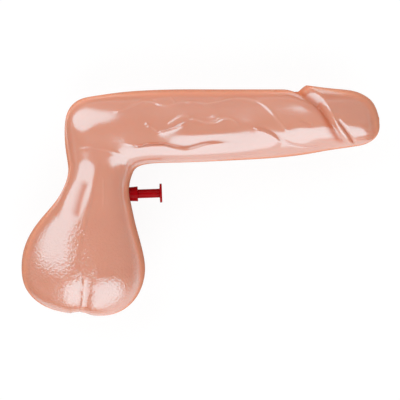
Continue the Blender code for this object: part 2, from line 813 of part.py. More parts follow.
def make_plunger():
    # Disc, rod and piston head are turned as one piece, with a groove for the O-ring.
    disc = DISC_DIA / 2.0
    disc_back = DISC_FACE - DISC_THICK
    piston = PISTON_DIA / 2.0
    groove = ring_outer - RING_WIRE - RING_GAP
    groove_half = RING_WIRE / 2.0 + RING_GAP
    pump_piece("trigger_plunger", [
        (DISC_FACE, 0.0),
        (DISC_FACE, disc - EDGE),
        (DISC_FACE - EDGE, disc),
        (disc_back + DISC_BACK_EDGE, disc),
        (disc_back, disc - DISC_BACK_EDGE),
        (disc_back, rod + ROD_FILLET),
        (disc_back - ROD_FILLET / 3.0, rod + ROD_FILLET / 3.0),
        (disc_back - ROD_FILLET, rod),
        (piston_front, rod),
        (piston_front, piston),
        (ring_at + groove_half, piston),
        (ring_at + groove_half, groove),
        (ring_at - groove_half, groove),
        (ring_at - groove_half, piston),
        (piston_back, piston),
        (piston_back, 0.0),
    ], plunger_red, False)


def make_o_ring():
    profile = []
    for k in range(8):
        turn = 2.0 * math.pi * k / 8
        across = ring_at + RING_WIRE / 2.0 * math.cos(turn)
        profile.append((across, ring_centre + RING_WIRE / 2.0 * math.sin(turn)))
    pump_piece("piston_o_ring", profile, ring_rubber)


def make_collar():
    bore = rod + RUN_GAP
    end = COLLAR_END_DIA / 2.0
    pump_piece("plunger_collar", [
        (COLLAR_OUT, bore),
        (COLLAR_OUT, end - EDGE),
        (COLLAR_OUT - EDGE, end),
        (0.0, collar),
        (mouth, collar),
        (mouth, bore),
    ], plunger_red)


def make_gasket():
    hole = collar + COLLAR_HOLE_GAP
    outside = GASKET_DIA / 2.0
    pump_piece("mouth_gasket", [
        (gasket_front, hole),
        (gasket_front, outside - EDGE),
        (gasket_front - EDGE, outside),
        (gasket_back + EDGE, outside),
        (gasket_back, outside - EDGE),
        (gasket_back, hole),
    ], ring_rubber)


def make_cylinder():
    pump_piece("pump_cylinder", [
        (mouth, FLANGE_DIA / 2.0),
        (flange_back, FLANGE_DIA / 2.0),
        (flange_back, CYLINDER_DIA / 2.0),
        (cylinder_back, CYLINDER_DIA / 2.0),
        (cylinder_back, port),
        (bore_end, port),
        (bore_end, BORE_DIA / 2.0),
        (mouth, BORE_DIA / 2.0),
    ], pump_white)


def make_spring():
    # One unbroken coil between the bore's end and the piston.
    low = bore_end + TOUCH + SPRING_WIRE / 2.0
    high = piston_back - TOUCH - SPRING_WIRE / 2.0
    mean = (SPRING_DIA - SPRING_WIRE) / 2.0
    pitch = (high - low) / SPRING_TURNS
    bm = bmesh.new()
    rings = []
    for k in range(SPRING_TURNS * SPRING_POINTS_A_TURN + 1):
        turn = 2.0 * math.pi * k / SPRING_POINTS_A_TURN
        around = Vector((0, math.cos(turn), math.sin(turn)))
        centre = Vector((low + pitch * k / SPRING_POINTS_A_TURN, 0, 0)) + around * mean
        slope = Vector((pitch / (2.0 * math.pi), -mean * math.sin(turn), mean * math.cos(turn)))
        third = slope.normalized().cross(around)
        ring = []
        for m in range(SPRING_SIDES):
            angle = 2.0 * math.pi * m / SPRING_SIDES
            away = around * math.cos(angle) + third * math.sin(angle)
            ring.append(bm.verts.new((centre + away * (SPRING_WIRE / 2.0)) * MM))
        rings.append(ring)
    for first, second in zip(rings, rings[1:]):
        band(bm, first, second, False)
    bm.faces.new(rings[0])
    bm.faces.new(rings[-1])
    shade(make_object("return_spring", bm, [spring_steel], pump_axis), 50.0)
    print("return_spring least gap between coils mm:", round(pitch - SPRING_WIRE, 3))


def make_valve_block():
    # A bevelled block with a stepped channel across it and a port to the cylinder.
    low = (block_back, -BLOCK_HALF_HEIGHT, -BLOCK_HALF_DEPTH)
    block = box("valve_block", low, (cylinder_back, BLOCK_HALF_HEIGHT, BLOCK_HALF_DEPTH))
    block.data.materials.append(valve_white)
    bm = bmesh.new()
    bm.from_mesh(block.data)
    bmesh.ops.bevel(bm, geom=bm.edges[:], offset=BLOCK_EDGE * MM, segments=1, affect="EDGES")
    bm.to_mesh(block.data)
    bm.free()
    wide = CHANNEL_DIA / 2.0
    narrow = SHELF_HOLE / 2.0
    reach = BLOCK_HALF_HEIGHT + PAST
    profile = [
        (-reach, 0.0),
        (-reach, wide),
        (SHELF_LOW, wide),
        (SHELF_LOW, narrow),
        (shelf_top, narrow),
        (shelf_top, wide),
        (reach, wide),
        (reach, 0.0),
    ]
    channel_cut = turned("cut", profile, VALVE_SIDES, [], upright(channel), None, False)
    apply_boolean(block, channel_cut, "DIFFERENCE")
    cut(block, port, channel, cylinder_back + PAST, HERE, 16)
    block.parent = pump_axis
    shade(block)


def make_inlet_spigot():
    # The seat of the inlet ball, with the tail that the suction tube is pushed on.
    bore = SPIGOT_BORE / 2.0
    turned("inlet_spigot", [
        (inlet_seat, bore),
        (inlet_seat, spigot_round - EDGE),
        (inlet_seat - EDGE, spigot_round),
        (-BLOCK_HALF_HEIGHT, spigot_round),
        (-BLOCK_HALF_HEIGHT, spigot_flange),
        (-spigot_root, spigot_flange),
        (-spigot_root, tube_tail),
        (-spigot_root - SPIGOT_TAIL, tube_tail),
        (-spigot_root - SPIGOT_TAIL, bore),
    ], VALVE_SIDES, [valve_white], upright(channel), pump_axis)


def make_outlet_spigot():
    # The stop of the outlet ball, slotted so that water passes the lifted ball.
    bore = SPIGOT_BORE / 2.0
    spigot = turned("outlet_spigot", [
        (outlet_stop, bore),
        (outlet_stop, spigot_round),
        (BLOCK_HALF_HEIGHT, spigot_round),
        (BLOCK_HALF_HEIGHT, spigot_flange),
        (spigot_root, spigot_flange),
        (spigot_root, tube_tail),
        (spigot_root + SPIGOT_TAIL, tube_tail),
        (spigot_root + SPIGOT_TAIL, bore),
    ], VALVE_SIDES, [valve_white], upright(channel), None)
    low = (channel - STOP_SLOT_HALF, outlet_stop - PAST, -CHANNEL_DIA)
    high = (channel + STOP_SLOT_HALF, outlet_stop + PAST, CHANNEL_DIA)
    apply_boolean(spigot, box("cut", low, high), "DIFFERENCE")
    spigot.parent = pump_axis
    shade(spigot)


def make_balls():
    for name, height in (("inlet_ball", inlet_ball_y), ("outlet_ball", outlet_ball_y)):
        bm = bmesh.new()
        bmesh.ops.create_uvsphere(bm, u_segments=16, v_segments=10, radius=ball_radius * MM)
        ball = make_object(name, bm, [ball_steel], pump_axis)
        ball.location = Vector((channel, height, 0)) * MM
        shade(ball, 60.0)


def make_tubes():
    radii = (TUBE_DIA / 2.0, TUBE_BORE / 2.0)
    swept_tube("suction_tube", suction_path, suction_slopes, *radii, TUBE_SIDES, [tube_clear])
    swept_tube("delivery_tube", delivery_path, delivery_slopes, *radii, TUBE_SIDES, [tube_clear])


def make_nozzle():
    jet = NOZZLE_JET / 2.0
    outside = NOZZLE_DIA / 2.0
    flange = NOZZLE_FLANGE_DIA / 2.0
    turned("nozzle_insert", [
        (0.0, jet),
        (0.0, outside - EDGE),
        (-EDGE, outside),
        (flange_front, outside),
        (flange_front, flange),
        (nozzle_back, flange),
        (nozzle_back, tube_tail),
        (nozzle_back - SPIGOT_TAIL, tube_tail),
        (nozzle_back - SPIGOT_TAIL, jet),
    ], NOZZLE_SIDES, [nozzle_plastic], nozzle_frame)


def make_plug():
    head = PLUG_HEAD_DIA / 2.0
    stem = PLUG_STEM_DIA / 2.0
    stem_end = plug_seat + PLUG_STEM
    turned("filler_plug", [
        (plug_face, 0.0),
        (plug_face, head - PLUG_EDGE),
        (plug_face + PLUG_EDGE, head),
        (plug_seat, head),
        (plug_seat, stem),
        (stem_end - PLUG_EDGE, stem),
        (stem_end, stem - PLUG_EDGE),
        (stem_end, 0.0),
    ], PLUG_SIDES, [plug_rubber], plug_frame, None, False)


make_bodies()
make_plunger()
make_o_ring()
make_collar()
make_gasket()
make_cylinder()
make_spring()
make_valve_block()
make_inlet_spigot()
make_outlet_spigot()
make_balls()
make_tubes()
make_nozzle()
make_plug()
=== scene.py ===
# Water squirter lying on its left side, seen from straight above.
# Lengths in the settings are millimetres; meshes are made in metres.
import math

import bmesh
import bpy
import numpy as np
from mathutils import Matrix, Vector


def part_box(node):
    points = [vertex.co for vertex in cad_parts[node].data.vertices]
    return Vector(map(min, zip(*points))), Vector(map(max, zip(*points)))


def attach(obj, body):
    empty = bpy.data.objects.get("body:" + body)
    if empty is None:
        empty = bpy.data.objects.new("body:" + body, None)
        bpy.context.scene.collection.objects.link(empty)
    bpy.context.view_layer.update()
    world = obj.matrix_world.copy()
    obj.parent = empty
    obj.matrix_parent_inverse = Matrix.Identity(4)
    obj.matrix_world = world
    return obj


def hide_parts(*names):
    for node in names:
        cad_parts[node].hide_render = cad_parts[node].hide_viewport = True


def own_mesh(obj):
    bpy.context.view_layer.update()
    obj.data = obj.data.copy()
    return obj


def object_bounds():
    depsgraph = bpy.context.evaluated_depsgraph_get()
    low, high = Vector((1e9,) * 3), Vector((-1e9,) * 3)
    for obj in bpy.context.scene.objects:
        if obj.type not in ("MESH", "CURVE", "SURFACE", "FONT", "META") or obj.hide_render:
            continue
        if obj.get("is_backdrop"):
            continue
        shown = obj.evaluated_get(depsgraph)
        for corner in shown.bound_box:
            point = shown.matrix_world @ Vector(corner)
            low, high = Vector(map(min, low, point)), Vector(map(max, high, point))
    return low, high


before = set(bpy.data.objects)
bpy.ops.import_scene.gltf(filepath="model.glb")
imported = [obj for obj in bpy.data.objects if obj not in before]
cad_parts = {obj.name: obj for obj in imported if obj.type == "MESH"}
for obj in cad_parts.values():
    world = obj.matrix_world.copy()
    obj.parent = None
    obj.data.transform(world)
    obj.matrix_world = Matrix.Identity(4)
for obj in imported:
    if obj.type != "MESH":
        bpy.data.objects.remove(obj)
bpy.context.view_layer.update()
mm = 0.001
nodeBox = {name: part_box(name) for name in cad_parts}
discLow, discHigh = nodeBox["trigger_plunger"]
parting = (discLow[2] + discHigh[2]) / 2.0 / mm  # height of the joint between the halves


# The moulded body

body = {
    "tip": (98.3, 43.3),
    "squareness": 2.2,
    "wall": 2.2,
    "land": 1.35,
    "lipHeight": 1.0,
    "lipSideGap": 0.15,
    "lipTopGap": 0.2,
    "seamNotch": 0.12,
    "stepsInside": 14,
    "sharpFrom": 42.0,
}

# How fine each half is: steps around, and row spacing between pairs of sections.
seenGrid = {"steps": 150, "rows": [(0, 4, 0.8), (4, 15, 0.42), (15, 21, 0.6), (21, 33, 1.2)]}
farGrid = {"steps": 96, "rows": [(0, 4, 1.2), (4, 15, 0.8), (15, 33, 1.4)]}

# Each cross-section: point on the outer outline, point on the inner outline, half depth.
sections = [
    (body["tip"], body["tip"], 0.0),
    ((97.9, 46.2), (97.9, 39.8), 3.2),
    ((96.5, 50.7), (96.8, 36.3), 7.2),
    ((94.0, 54.8), (94.9, 33.6), 10.7),
    ((89.6, 58.1), (92.3, 31.7), 13.9),
    ((83.0, 60.4), (89.2, 30.5), 16.4),
    ((73.5, 61.05), (86.2, 29.9), 19.0),
    ((63.5, 61.05), (83.2, 29.4), 20.6),
    ((54.0, 61.05), (79.0, 28.8), 21.0),
    ((43.0, 61.05), (71.5, 27.7), 20.2),
    ((28.0, 61.05), (57.0, 25.2), 19.5),
    ((8.0, 61.05), (34.0, 22.9), 19.1),
    ((-12.0, 61.05), (9.0, 21.6), 19.3),
    ((-30.0, 60.5), (-12.0, 20.8), 19.6),
    ((-46.0, 59.2), (-25.5, 20.4), 20.1),
    ((-59.0, 57.3), (-32.6, 19.2), 20.2),
    ((-68.0, 54.6), (-35.7, 17.5), 19.9),
    ((-72.6, 49.4), (-37.0, 15.6), 19.6),
    ((-74.3, 41.8), (-37.9, 13.3), 19.3),
    ((-74.5, 32.0), (-38.7, 10.6), 19.0),
    ((-73.3, 22.5), (-39.1, 7.9), 18.8),
    ((-72.6, 14.5), (-39.2, 5.0), 18.6),
    ((-75.2, 6.0), (-38.8, 1.2), 18.6),
    ((-81.4, -2.8), (-37.8, -3.6), 19.1),
    ((-88.5, -11.2), (-36.2, -11.2), 20.4),
    ((-94.2, -20.0), (-33.9, -20.2), 21.8),
    ((-97.3, -29.0), (-31.7, -29.6), 22.7),
    ((-98.0, -38.5), (-30.9, -38.6), 23.0),
    ((-95.8, -48.0), (-33.0, -48.0), 21.9),
    ((-90.6, -54.5), (-36.9, -54.7), 19.2),
    ((-84.0, -58.6), (-42.2, -59.5), 15.8),
    ((-77.2, -60.8), (-49.0, -62.4), 11.2),
    ((-71.6, -61.5), (-57.5, -62.9), 5.8),
    ((-66.0, -62.0), (-66.0, -62.0), 0.0),
]

# The ridge round the head: its crest in the side view, from above the barrel downward, how far
# it slopes off in front and drops behind, and the heights between which it fades and ends.
ridge = {
    "line": [(54.0, 66.05), (57.6, 61.8), (64.4, 57.2), (69.6, 51.5), (72.6, 45.5), (76.1, 39.0),
             (80.9, 32.7), (85.3, 27.8)],
    "height": 2.25,
    "run": 16.0,
    "bevel": 4.4,
    "groove": 1.7,
    "grooveRun": 6.0,
    "fade": (52.05, 36.05),
    "end": (34.55, 29.55),
    "lowPart": 0.3,
    "lowWidth": 0.6,
}

# Raised veins: height, half width, points in the side view.
veins = [
    (0.22, 0.7, [(-48.1, 47.4), (-44.2, 48.5), (-40.4, 50.2), (-36.0, 51.8), (-33.2, 53.4),
                 (-30.5, 54.3), (-26.6, 53.8), (-22.8, 52.7), (-19.5, 51.9)]),
    (0.2, 0.7, [(-25.0, 53.3), (-22.8, 52.8), (-20.0, 51.9), (-16.7, 51.9), (-13.4, 52.9),
                (-9.6, 53.7), (-2.4, 53.8)]),
    (0.24, 0.6, [(-9.6, 53.8), (-2.4, 53.8), (2.5, 52.9), (5.2, 52.9), (9.6, 53.8), (14.4, 55.2),
                 (19.9, 56.1)]),
    (0.22, 0.8, [(14.4, 55.2), (19.9, 56.1), (26.0, 55.6), (31.1, 54.4), (34.8, 52.3),
                 (38.0, 49.4), (40.5, 46.3), (43.0, 42.6), (46.0, 39.6), (50.0, 37.3)]),
    (0.14, 0.7, [(-16.9, 57.0), (-14.6, 54.2), (-13.7, 52.8)]),
    (0.2, 0.5, [(-27.5, 40.3), (-25.5, 38.9), (-23.3, 37.8)]),
    (0.26, 0.8, [(-18.1, 40.7), (-14.9, 42.9), (-11.5, 45.1), (-8.6, 46.0), (-5.2, 45.7)]),
    (0.3, 0.65, [(-7.2, 44.6), (-5.2, 43.9), (-2.4, 44.2), (0.8, 43.1), (4.1, 42.6), (6.9, 42.6),
                 (9.1, 43.1), (10.7, 44.5), (13.5, 45.0), (16.2, 44.8), (19.0, 43.1), (21.7, 40.7)]),
    (0.14, 0.5, [(-71.4, 26.4), (-64.7, 28.0), (-58.1, 28.6), (-51.4, 27.7), (-46.8, 26.4),
                 (-40.8, 24.4)]),
    (0.3, 1.3, [(-61.0, 8.4), (-63.4, 3.0), (-65.2, -3.0), (-66.2, -9.9)]),
    (0.14, 0.5, [(-53.1, 13.4), (-53.3, -3.9)]),
    (0.45, 1.0, [(-62.4, -39.0), (-62.9, -44.0), (-63.6, -52.0), (-64.6, -60.0), (-65.0, -63.5)]),
]

# Creases: depth, half width above the line, half width below it, share of painted shade, points from left
# to right.
creases = [
    (0.25, 0.9, 0.8, 0.25, [(53.6, 44.2), (57.5, 42.6), (61.4, 40.8)]),
    (0.35, 0.8, 0.6, 0.35, [(44.8, 34.2), (48.6, 31.0), (57.5, 28.9), (66.3, 30.4)]),
    (0.9, 0.9, 1.0, 0.9, [(74.6, 44.6), (76.2, 42.2), (78.7, 39.2), (81.0, 36.0), (83.2, 32.7),
                          (85.0, 30.0)]),
    (0.6, 1.9, 2.8, 0.85, [(-61.6, 11.0), (-63.8, 4.6), (-65.8, -2.5), (-67.4, -10.6)]),
    (0.3, 0.5, 0.5, 0.3, [(63.6, 50.6), (65.6, 53.0), (67.4, 54.0)]),
    (0.4, 0.5, 0.5, 0.35, [(-64.2, -39.0), (-64.6, -44.0), (-65.3, -52.0), (-66.2, -60.0),
                           (-66.5, -63.5)]),
]

# Folds: the skin steps up just to the right of the line's direction and eases off again.
# Height, width of the step, length of the slope behind it, share of painted shade, points.
folds = [
    (1.15, 1.4, 5.0, 0.9, [(-40.6, 31.0), (-37.6, 30.4), (-33.2, 30.4), (-29.4, 31.2), (-24.4, 31.5),
                           (-19.5, 31.5), (-16.7, 30.8), (-12.3, 30.0), (-8.5, 29.4), (-4.6, 30.0),
                           (-0.2, 31.3), (4.1, 32.2), (8.0, 32.5), (13.5, 32.5), (18.5, 32.0)]),
    (1.0, 1.6, 6.0, 0.35, [(27.5, 41.0), (31.0, 40.2), (35.2, 39.2), (39.5, 37.4), (43.2, 34.4),
                          (46.2, 31.8)]),
    (1.1, 10.0, 40.0, 0.0, [(-80.0, 22.1), (-68.0, 22.4), (-56.0, 21.6), (-50.0, 19.6)]),
    (0.8, 0.9, 1.5, 0.2, [(-25.2, 37.3), (-21.4, 38.0), (-18.9, 38.5), (-15.6, 39.4), (-12.3, 40.8),
                          (-9.0, 42.8), (-7.4, 44.0)]),
    (1.1, 6.2, 10.0, 0.18, [(-64.0, -64.5), (-63.2, -58.0), (-62.2, -50.0), (-61.6, -42.0),
                            (-61.2, -35.0)]),
]

# Lips: the skin climbs towards the line from its left and drops at it.
# Height, length of the climb, width of the drop, points.
lips = [
    (1.0, 3.5, 0.7, [(-42.5, 31.2), (-40.6, 31.0), (-37.6, 30.5), (-33.2, 30.5), (-29.4, 31.3),
                     (-24.4, 31.6), (-19.5, 31.6), (-16.7, 30.9), (-12.3, 30.1), (-9.0, 29.5)]),
]

# Swellings of the mould: height, centre, half length, half width, turn in degrees. The
# lobes reach the outline; the others stay on the face.
lobes = [
    (1.4, (-49.05, -42.0), 17.0, 17.0, 0.0),
    (1.4, (-78.05, -38.0), 17.0, 17.0, 0.0),
]
swells = [
    (0.8, (3.0, 35.8), 16.0, 4.0, 3.0),
    (1.2, (-12.0, 25.0), 32.0, 4.2, 0.0),
    (0.7, (34.0, 33.5), 11.0, 6.0, -8.0),
    (0.75, (30.5, 41.5), 9.0, 4.6, -6.0),
    (0.8, (46.6, 37.0), 4.4, 4.4, -20.0),
    (1.15, (61.5, 38.2), 11.0, 5.2, -10.0),
    (2.0, (90.0, 39.0), 8.0, 6.0, -30.0),
    (1.0, (-47.0, 45.0), 14.0, 10.0, 0.0),
    (1.9, (-66.0, 39.5), 10.0, 9.0, 0.0),
    (0.9, (-40.0, 25.0), 8.0, 7.0, 0.0),
    (0.9, (-71.0, 46.0), 6.0, 9.0, 0.0),
    (0.9, (-58.0, 56.0), 12.0, 5.0, 8.0),
    (0.8, (-72.5, 0.0), 6.0, 14.0, -25.0),
    (1.5, (-66.0, -4.0), 14.0, 17.0, -20.0),
    (1.2, (-52.0, 2.0), 13.0, 12.0, 0.0),
    (0.8, (-41.5, -45.0), 8.0, 8.0, 0.0),
    (0.7, (-71.5, -47.0), 7.0, 10.0, 0.0),
    (0.4, (9.2, 44.9), 3.8, 1.8, 0.0),
    (0.45, (-29.0, 41.2), 1.1, 1.1, 0.0),
    (0.35, (-67.2, -30.9), 0.8, 0.8, 0.0),
]

# The lobes meet in a dip that reaches the outline.
raphe = {"line": [(-61.55, -36.0), (-64.05, -48.0), (-66.05, -66.0)], "depth": 1.1, "width": 4.0,
         "start": 1.6}

# Fine upright wrinkles where the grip widens into the bulb. They waver with the height.
wrinkles = {"centre": (-70.5, -20.0), "size": (7.0, 9.0), "height": 0.1, "spacing": 1.5, "lean": 0.3,
            "waver": 0.8, "waverRate": 0.35}

# How fast the relief comes up: towards the face from the joint, and along each kind of line
# from its two ends, where 4 is full height after a quarter of the line.
comesUp = {"face": 1.8, "vein": 8.0, "crease": 6.0, "fold": 4.0}


def cubicThrough(knots, values):
    # natural cubic curve, so that slope and bend both run on smoothly
    knots = np.asarray(knots, float)
    values = np.asarray(values, float)
    count = len(knots)
    gaps = np.diff(knots)
    matrix = np.eye(count)
    right = np.zeros(count)
    for i in range(1, count - 1):
        matrix[i, i - 1 : i + 2] = (gaps[i - 1], 2.0 * (gaps[i - 1] + gaps[i]), gaps[i])
        rise = (values[i + 1] - values[i]) / gaps[i] - (values[i] - values[i - 1]) / gaps[i - 1]
        right[i] = 6.0 * rise
    bend = np.linalg.solve(matrix, right)

    def at(knot):
        knot = np.asarray(knot, float)
        i = np.clip(np.searchsorted(knots, knot) - 1, 0, count - 2)
        gap = gaps[i]
        before = (knots[i + 1] - knot) / gap
        after = (knot - knots[i]) / gap
        curve = (before**3 - before) * bend[i] + (after**3 - after) * bend[i + 1]
        return before * values[i] + after * values[i + 1] + curve * gap * gap / 6.0

    return at


sectionKnots = [0.0]
for first, second in zip(sections, sections[1:]):
    step = (math.dist(first[0], second[0]) + math.dist(first[1], second[1])) / 2.0
    sectionKnots.append(sectionKnots[-1] + step)
columns = zip(*[(*outer, *inner, depth) for outer, inner, depth in sections])
outlineCurves = [cubicThrough(sectionKnots, column) for column in columns]


def signedPower(value, power):
    return np.sign(value) * np.abs(value) ** power


def basePoint(knot, angle):
    # angle 0 is on the outer outline and pi on the inner one
    outerX, outerY, innerX, innerY, depth = [curve(knot) for curve in outlineCurves]
    power = 2.0 / body["squareness"]
    across = signedPower(np.cos(angle), power)
    up = signedPower(np.sin(angle), power)
    x = (outerX + innerX) / 2.0 + (outerX - innerX) / 2.0 * across
    y = (outerY + innerY) / 2.0 + (outerY - innerY) / 2.0 * across
    return np.stack([x, y, depth * up], -1)


def baseNormal(knot, angle):
    small, turn = 0.05, 0.03
    knot = np.clip(knot, 2.0 * small, sectionKnots[-1] - 2.0 * small)
    along = basePoint(knot + small, angle) - basePoint(knot - small, angle)
    around = basePoint(knot, angle + turn) - basePoint(knot, angle - turn)
    normal = np.cross(along, around)
    return normal / np.linalg.norm(normal, axis=-1, keepdims=True)


def lineDistance(line, x, y):
    # distance to a line of points, positive on its left, and the way along it
    spans = [math.dist(a, b) for a, b in zip(line, line[1:])]
    best = np.full(x.shape, 1e9)
    side = np.ones(x.shape)
    along = np.zeros(x.shape)
    run = 0.0
    for (a, b), span in zip(zip(line, line[1:]), spans):
        dx, dy = b[0] - a[0], b[1] - a[1]
        part = np.clip(((x - a[0]) * dx + (y - a[1]) * dy) / span**2, 0.0, 1.0)
        away = np.hypot(x - a[0] - part * dx, y - a[1] - part * dy)
        near = away < best
        turn = np.where(dx * (y - a[1]) - dy * (x - a[0]) < 0.0, -1.0, 1.0)
        best = np.where(near, away, best)
        side = np.where(near, turn, side)
        along = np.where(near, (run + part * span) / sum(spans), along)
        run += span
    return best, side, along


def smoothStep(value):
    value = np.clip(value, 0.0, 1.0)
    return value * value * (3.0 - 2.0 * value)


def roundedLine(points, passes=2):
    # cuts the corners of a line, so that a vein has no kinks
    for _ in range(passes):
        smooth = [points[0]]
        for a, b in zip(points, points[1:]):
            smooth.append((a[0] * 0.75 + b[0] * 0.25, a[1] * 0.75 + b[1] * 0.25))
            smooth.append((a[0] * 0.25 + b[0] * 0.75, a[1] * 0.25 + b[1] * 0.75))
        points = smooth + [points[-1]]
    return points


def endFade(along, rate):
    return smoothStep(along * rate) * smoothStep((1.0 - along) * rate)


def stroke(line, x, y, above, below, rate):
    # a soft line that is 1 on its middle, with its own width on either side
    away, side, along = lineDistance(roundedLine(line), x, y)
    return endFade(along, rate) * np.exp(-((away / np.where(side > 0.0, above, below)) ** 2))


def foldStep(line, x, y, rise, ease):
    # 0 before the line, a step up to 1 on its right, then a long slope back to 0
    away, side, along = lineDistance(roundedLine(line), x, y)
    past = np.where(side < 0.0, away, 0.0)
    fade = endFade(along, comesUp["fold"])
    return fade * smoothStep(past / rise) * np.exp(-np.maximum(0.0, past - rise) / ease)


def lipShape(line, x, y, climb, drop):
    # a long climb to 1 on the line's left, then a drop to 0 on its right
    away, side, along = lineDistance(roundedLine(line), x, y)
    fade = endFade(along, comesUp["fold"])
    return fade * np.where(side > 0.0, np.exp(-away / climb), 1.0 - smoothStep(away / drop))


def shareBetween(value, first, last):
    return smoothStep((value - first) / (last - first))


def swelling(x, y, centre, long, wide, turn=0.0):
    c, s = math.cos(math.radians(turn)), math.sin(math.radians(turn))
    u = ((x - centre[0]) * c + (y - centre[1]) * s) / long
    v = (-(x - centre[0]) * s + (y - centre[1]) * c) / wide
    return np.exp(-(u**2) - v**2)


def ridgeRelief(x, y):
    # a crest that slopes away to the front, with a bevel and a groove behind it
    away, side, _ = lineDistance(roundedLine(ridge["line"]), x, y)
    fade = shareBetween(y, *ridge["fade"])
    keep = (1.0 - (1.0 - ridge["lowPart"]) * fade) * (1.0 - shareBetween(y, *ridge["end"]))
    behind = away / (1.0 - (1.0 - ridge["lowWidth"]) * fade)
    front = ridge["height"] * np.maximum(0.0, 1.0 - away / ridge["run"]) ** 2
    bevel = ridge["height"] - (ridge["height"] + ridge["groove"]) * smoothStep(behind / ridge["bevel"])
    past = (behind - ridge["bevel"]) / ridge["grooveRun"]
    groove = -ridge["groove"] * np.clip(1.0 - past, 0.0, 1.0) ** 2
    return keep * np.where(side > 0.0, front, np.where(behind < ridge["bevel"], bevel, groove))


def bodyRelief(x, y, facing):
    # how far the skin stands out from the smooth form; facing is 0 at the joint and 1 on top
    raised = ridgeRelief(x, y)
    inward = smoothStep(facing * comesUp["face"])
    for height, centre, long, wide, turn in lobes:
        raised = raised + height * swelling(x, y, centre, long, wide, turn)
    for height, centre, long, wide, turn in swells:
        raised = raised + inward * height * swelling(x, y, centre, long, wide, turn)
    away, _, along = lineDistance(roundedLine(raphe["line"]), x, y)
    dip = smoothStep(along * raphe["start"]) * np.exp(-((away / raphe["width"]) ** 2))
    raised = raised - raphe["depth"] * dip
    for height, width, line in veins:
        raised = raised + inward * height * stroke(line, x, y, width, width, comesUp["vein"])
    for depth, above, below, _, line in creases:
        raised = raised - inward * depth * stroke(line, x, y, above, below, comesUp["crease"])
    for height, rise, ease, _, line in folds:
        raised = raised + inward * height * foldStep(line, x, y, rise, ease)
    for height, climb, drop, line in lips:
        raised = raised + inward * height * lipShape(line, x, y, climb, drop)
    lean = x + wrinkles["lean"] * y + wrinkles["waver"] * np.sin(y * wrinkles["waverRate"])
    wave = np.sin(lean * 2.0 * math.pi / wrinkles["spacing"])
    patch = swelling(x, y, wrinkles["centre"], *wrinkles["size"])
    return raised + inward * wrinkles["height"] * wave * patch


def rowKnots(bands):
    # rows lie closer together where the relief is fine
    knots = [0.0]
    for first, last, spacing in bands:
        start, end = sectionKnots[first], sectionKnots[last]
        count = max(1, round((end - start) / spacing))
        knots += [start + (end - start) * (k + 1) / count for k in range(count)]
    return np.array(knots)


def bodyGrid(fineness, steps, inset, dressed=False):
    # rows of points over one half, inset from the smooth form or dressed with the relief; the
    # first and last rows close to a pole
    rows = rowKnots(fineness["rows"])
    knot = rows[:, None] + np.zeros((1, steps + 1))
    angle = np.linspace(0.0, math.pi, steps + 1)[None, :] + np.zeros((len(rows), 1))
    points = basePoint(knot, angle)
    normals = baseNormal(knot, angle)
    normals[:, (0, -1), 2] = 0.0
    normals /= np.linalg.norm(normals, axis=-1, keepdims=True)
    normals[0] = (1.0, 0.0, 0.0)
    normals[-1] = (0.0, -1.0, 0.0)
    out = np.full(points.shape[:2], -inset)
    if dressed:
        out = out + bodyRelief(points[..., 0], points[..., 1], np.abs(np.sin(angle)))
        out[:, (0, -1)] -= body["seamNotch"]
    return points + normals * out[..., None]


def rimOf(grid):
    return np.concatenate([grid[:, 0], grid[1:-1, -1][::-1]])


def linkedObject(name, data):
    obj = bpy.data.objects.new(name, data)
    bpy.context.collection.objects.link(obj)
    return obj


def objectFrom(name, bm):
    mesh = bpy.data.meshes.new(name)
    bm.to_mesh(mesh)
    bm.free()
    return linkedObject(name, mesh)


def gridMesh(name, parts, weldWithin=2e-7, sliverEdge=1e-8):
    # parts: (points, faces) lists in mm, joined into one mesh; the last two are in metres
    points = np.concatenate([p for p, _ in parts])
    faces, start = [], 0
    for p, f in parts:
        faces += [[i + start for i in face] for face in f]
        start += len(p)
    mesh = bpy.data.meshes.new(name)
    mesh.from_pydata((points * mm).tolist(), [], faces)
    bm = bmesh.new()
    bm.from_mesh(mesh)
    bmesh.ops.remove_doubles(bm, verts=bm.verts, dist=weldWithin)
    bmesh.ops.dissolve_degenerate(bm, edges=bm.edges, dist=sliverEdge)
    bmesh.ops.recalc_face_normals(bm, faces=bm.faces)
    bm.to_mesh(mesh)
    bm.free()
    return linkedObject(name, mesh)


def skinFaces(rows, steps):
    across = steps + 1
    return [
        [r * across + k, (r + 1) * across + k, (r + 1) * across + k + 1, r * across + k + 1]
        for r in range(rows)
        for k in range(steps)
    ]


def bandFaces(count):
    return [[i, (i + 1) % count, count + (i + 1) % count, count + i] for i in range(count)]


def placedGrid(grid, side, step=0.0):
    # step lifts the inner skin's edge for the lip or its rebate
    share = grid[..., 2:] / grid[..., 2].max()
    lift = parting + step * (1.0 - share) + side * grid[..., 2:]
    return np.concatenate([grid[..., :2], lift], -1)


def makeShell(name, side, fineness):
    # outer skin and lining, joined along the rim by the land and the step of the lap joint
    outer = placedGrid(bodyGrid(fineness, fineness["steps"], 0.0, dressed=True), side)
    step = body["lipHeight"] + (body["lipTopGap"] if side > 0 else 0.0)
    inner = placedGrid(bodyGrid(fineness, body["stepsInside"], body["wall"]), side, step)
    land = body["land"] + (0.0 if side > 0 else body["lipSideGap"])
    # a grid two steps wide still has the whole rim
    middle = rimOf(bodyGrid(fineness, 2, land))
    low, high = middle.copy(), middle.copy()
    low[:, 2], high[:, 2] = parting, parting + step
    rows = outer.shape[0] - 1
    parts = [
        (outer.reshape(-1, 3), skinFaces(rows, fineness["steps"])),
        (inner.reshape(-1, 3), skinFaces(rows, body["stepsInside"])),
    ]
    rings = [rimOf(outer), low, high, rimOf(inner)]
    for a, b in zip(rings, rings[1:]):
        parts.append((np.concatenate([a, b]), bandFaces(len(a))))
    return gridMesh(name, parts)


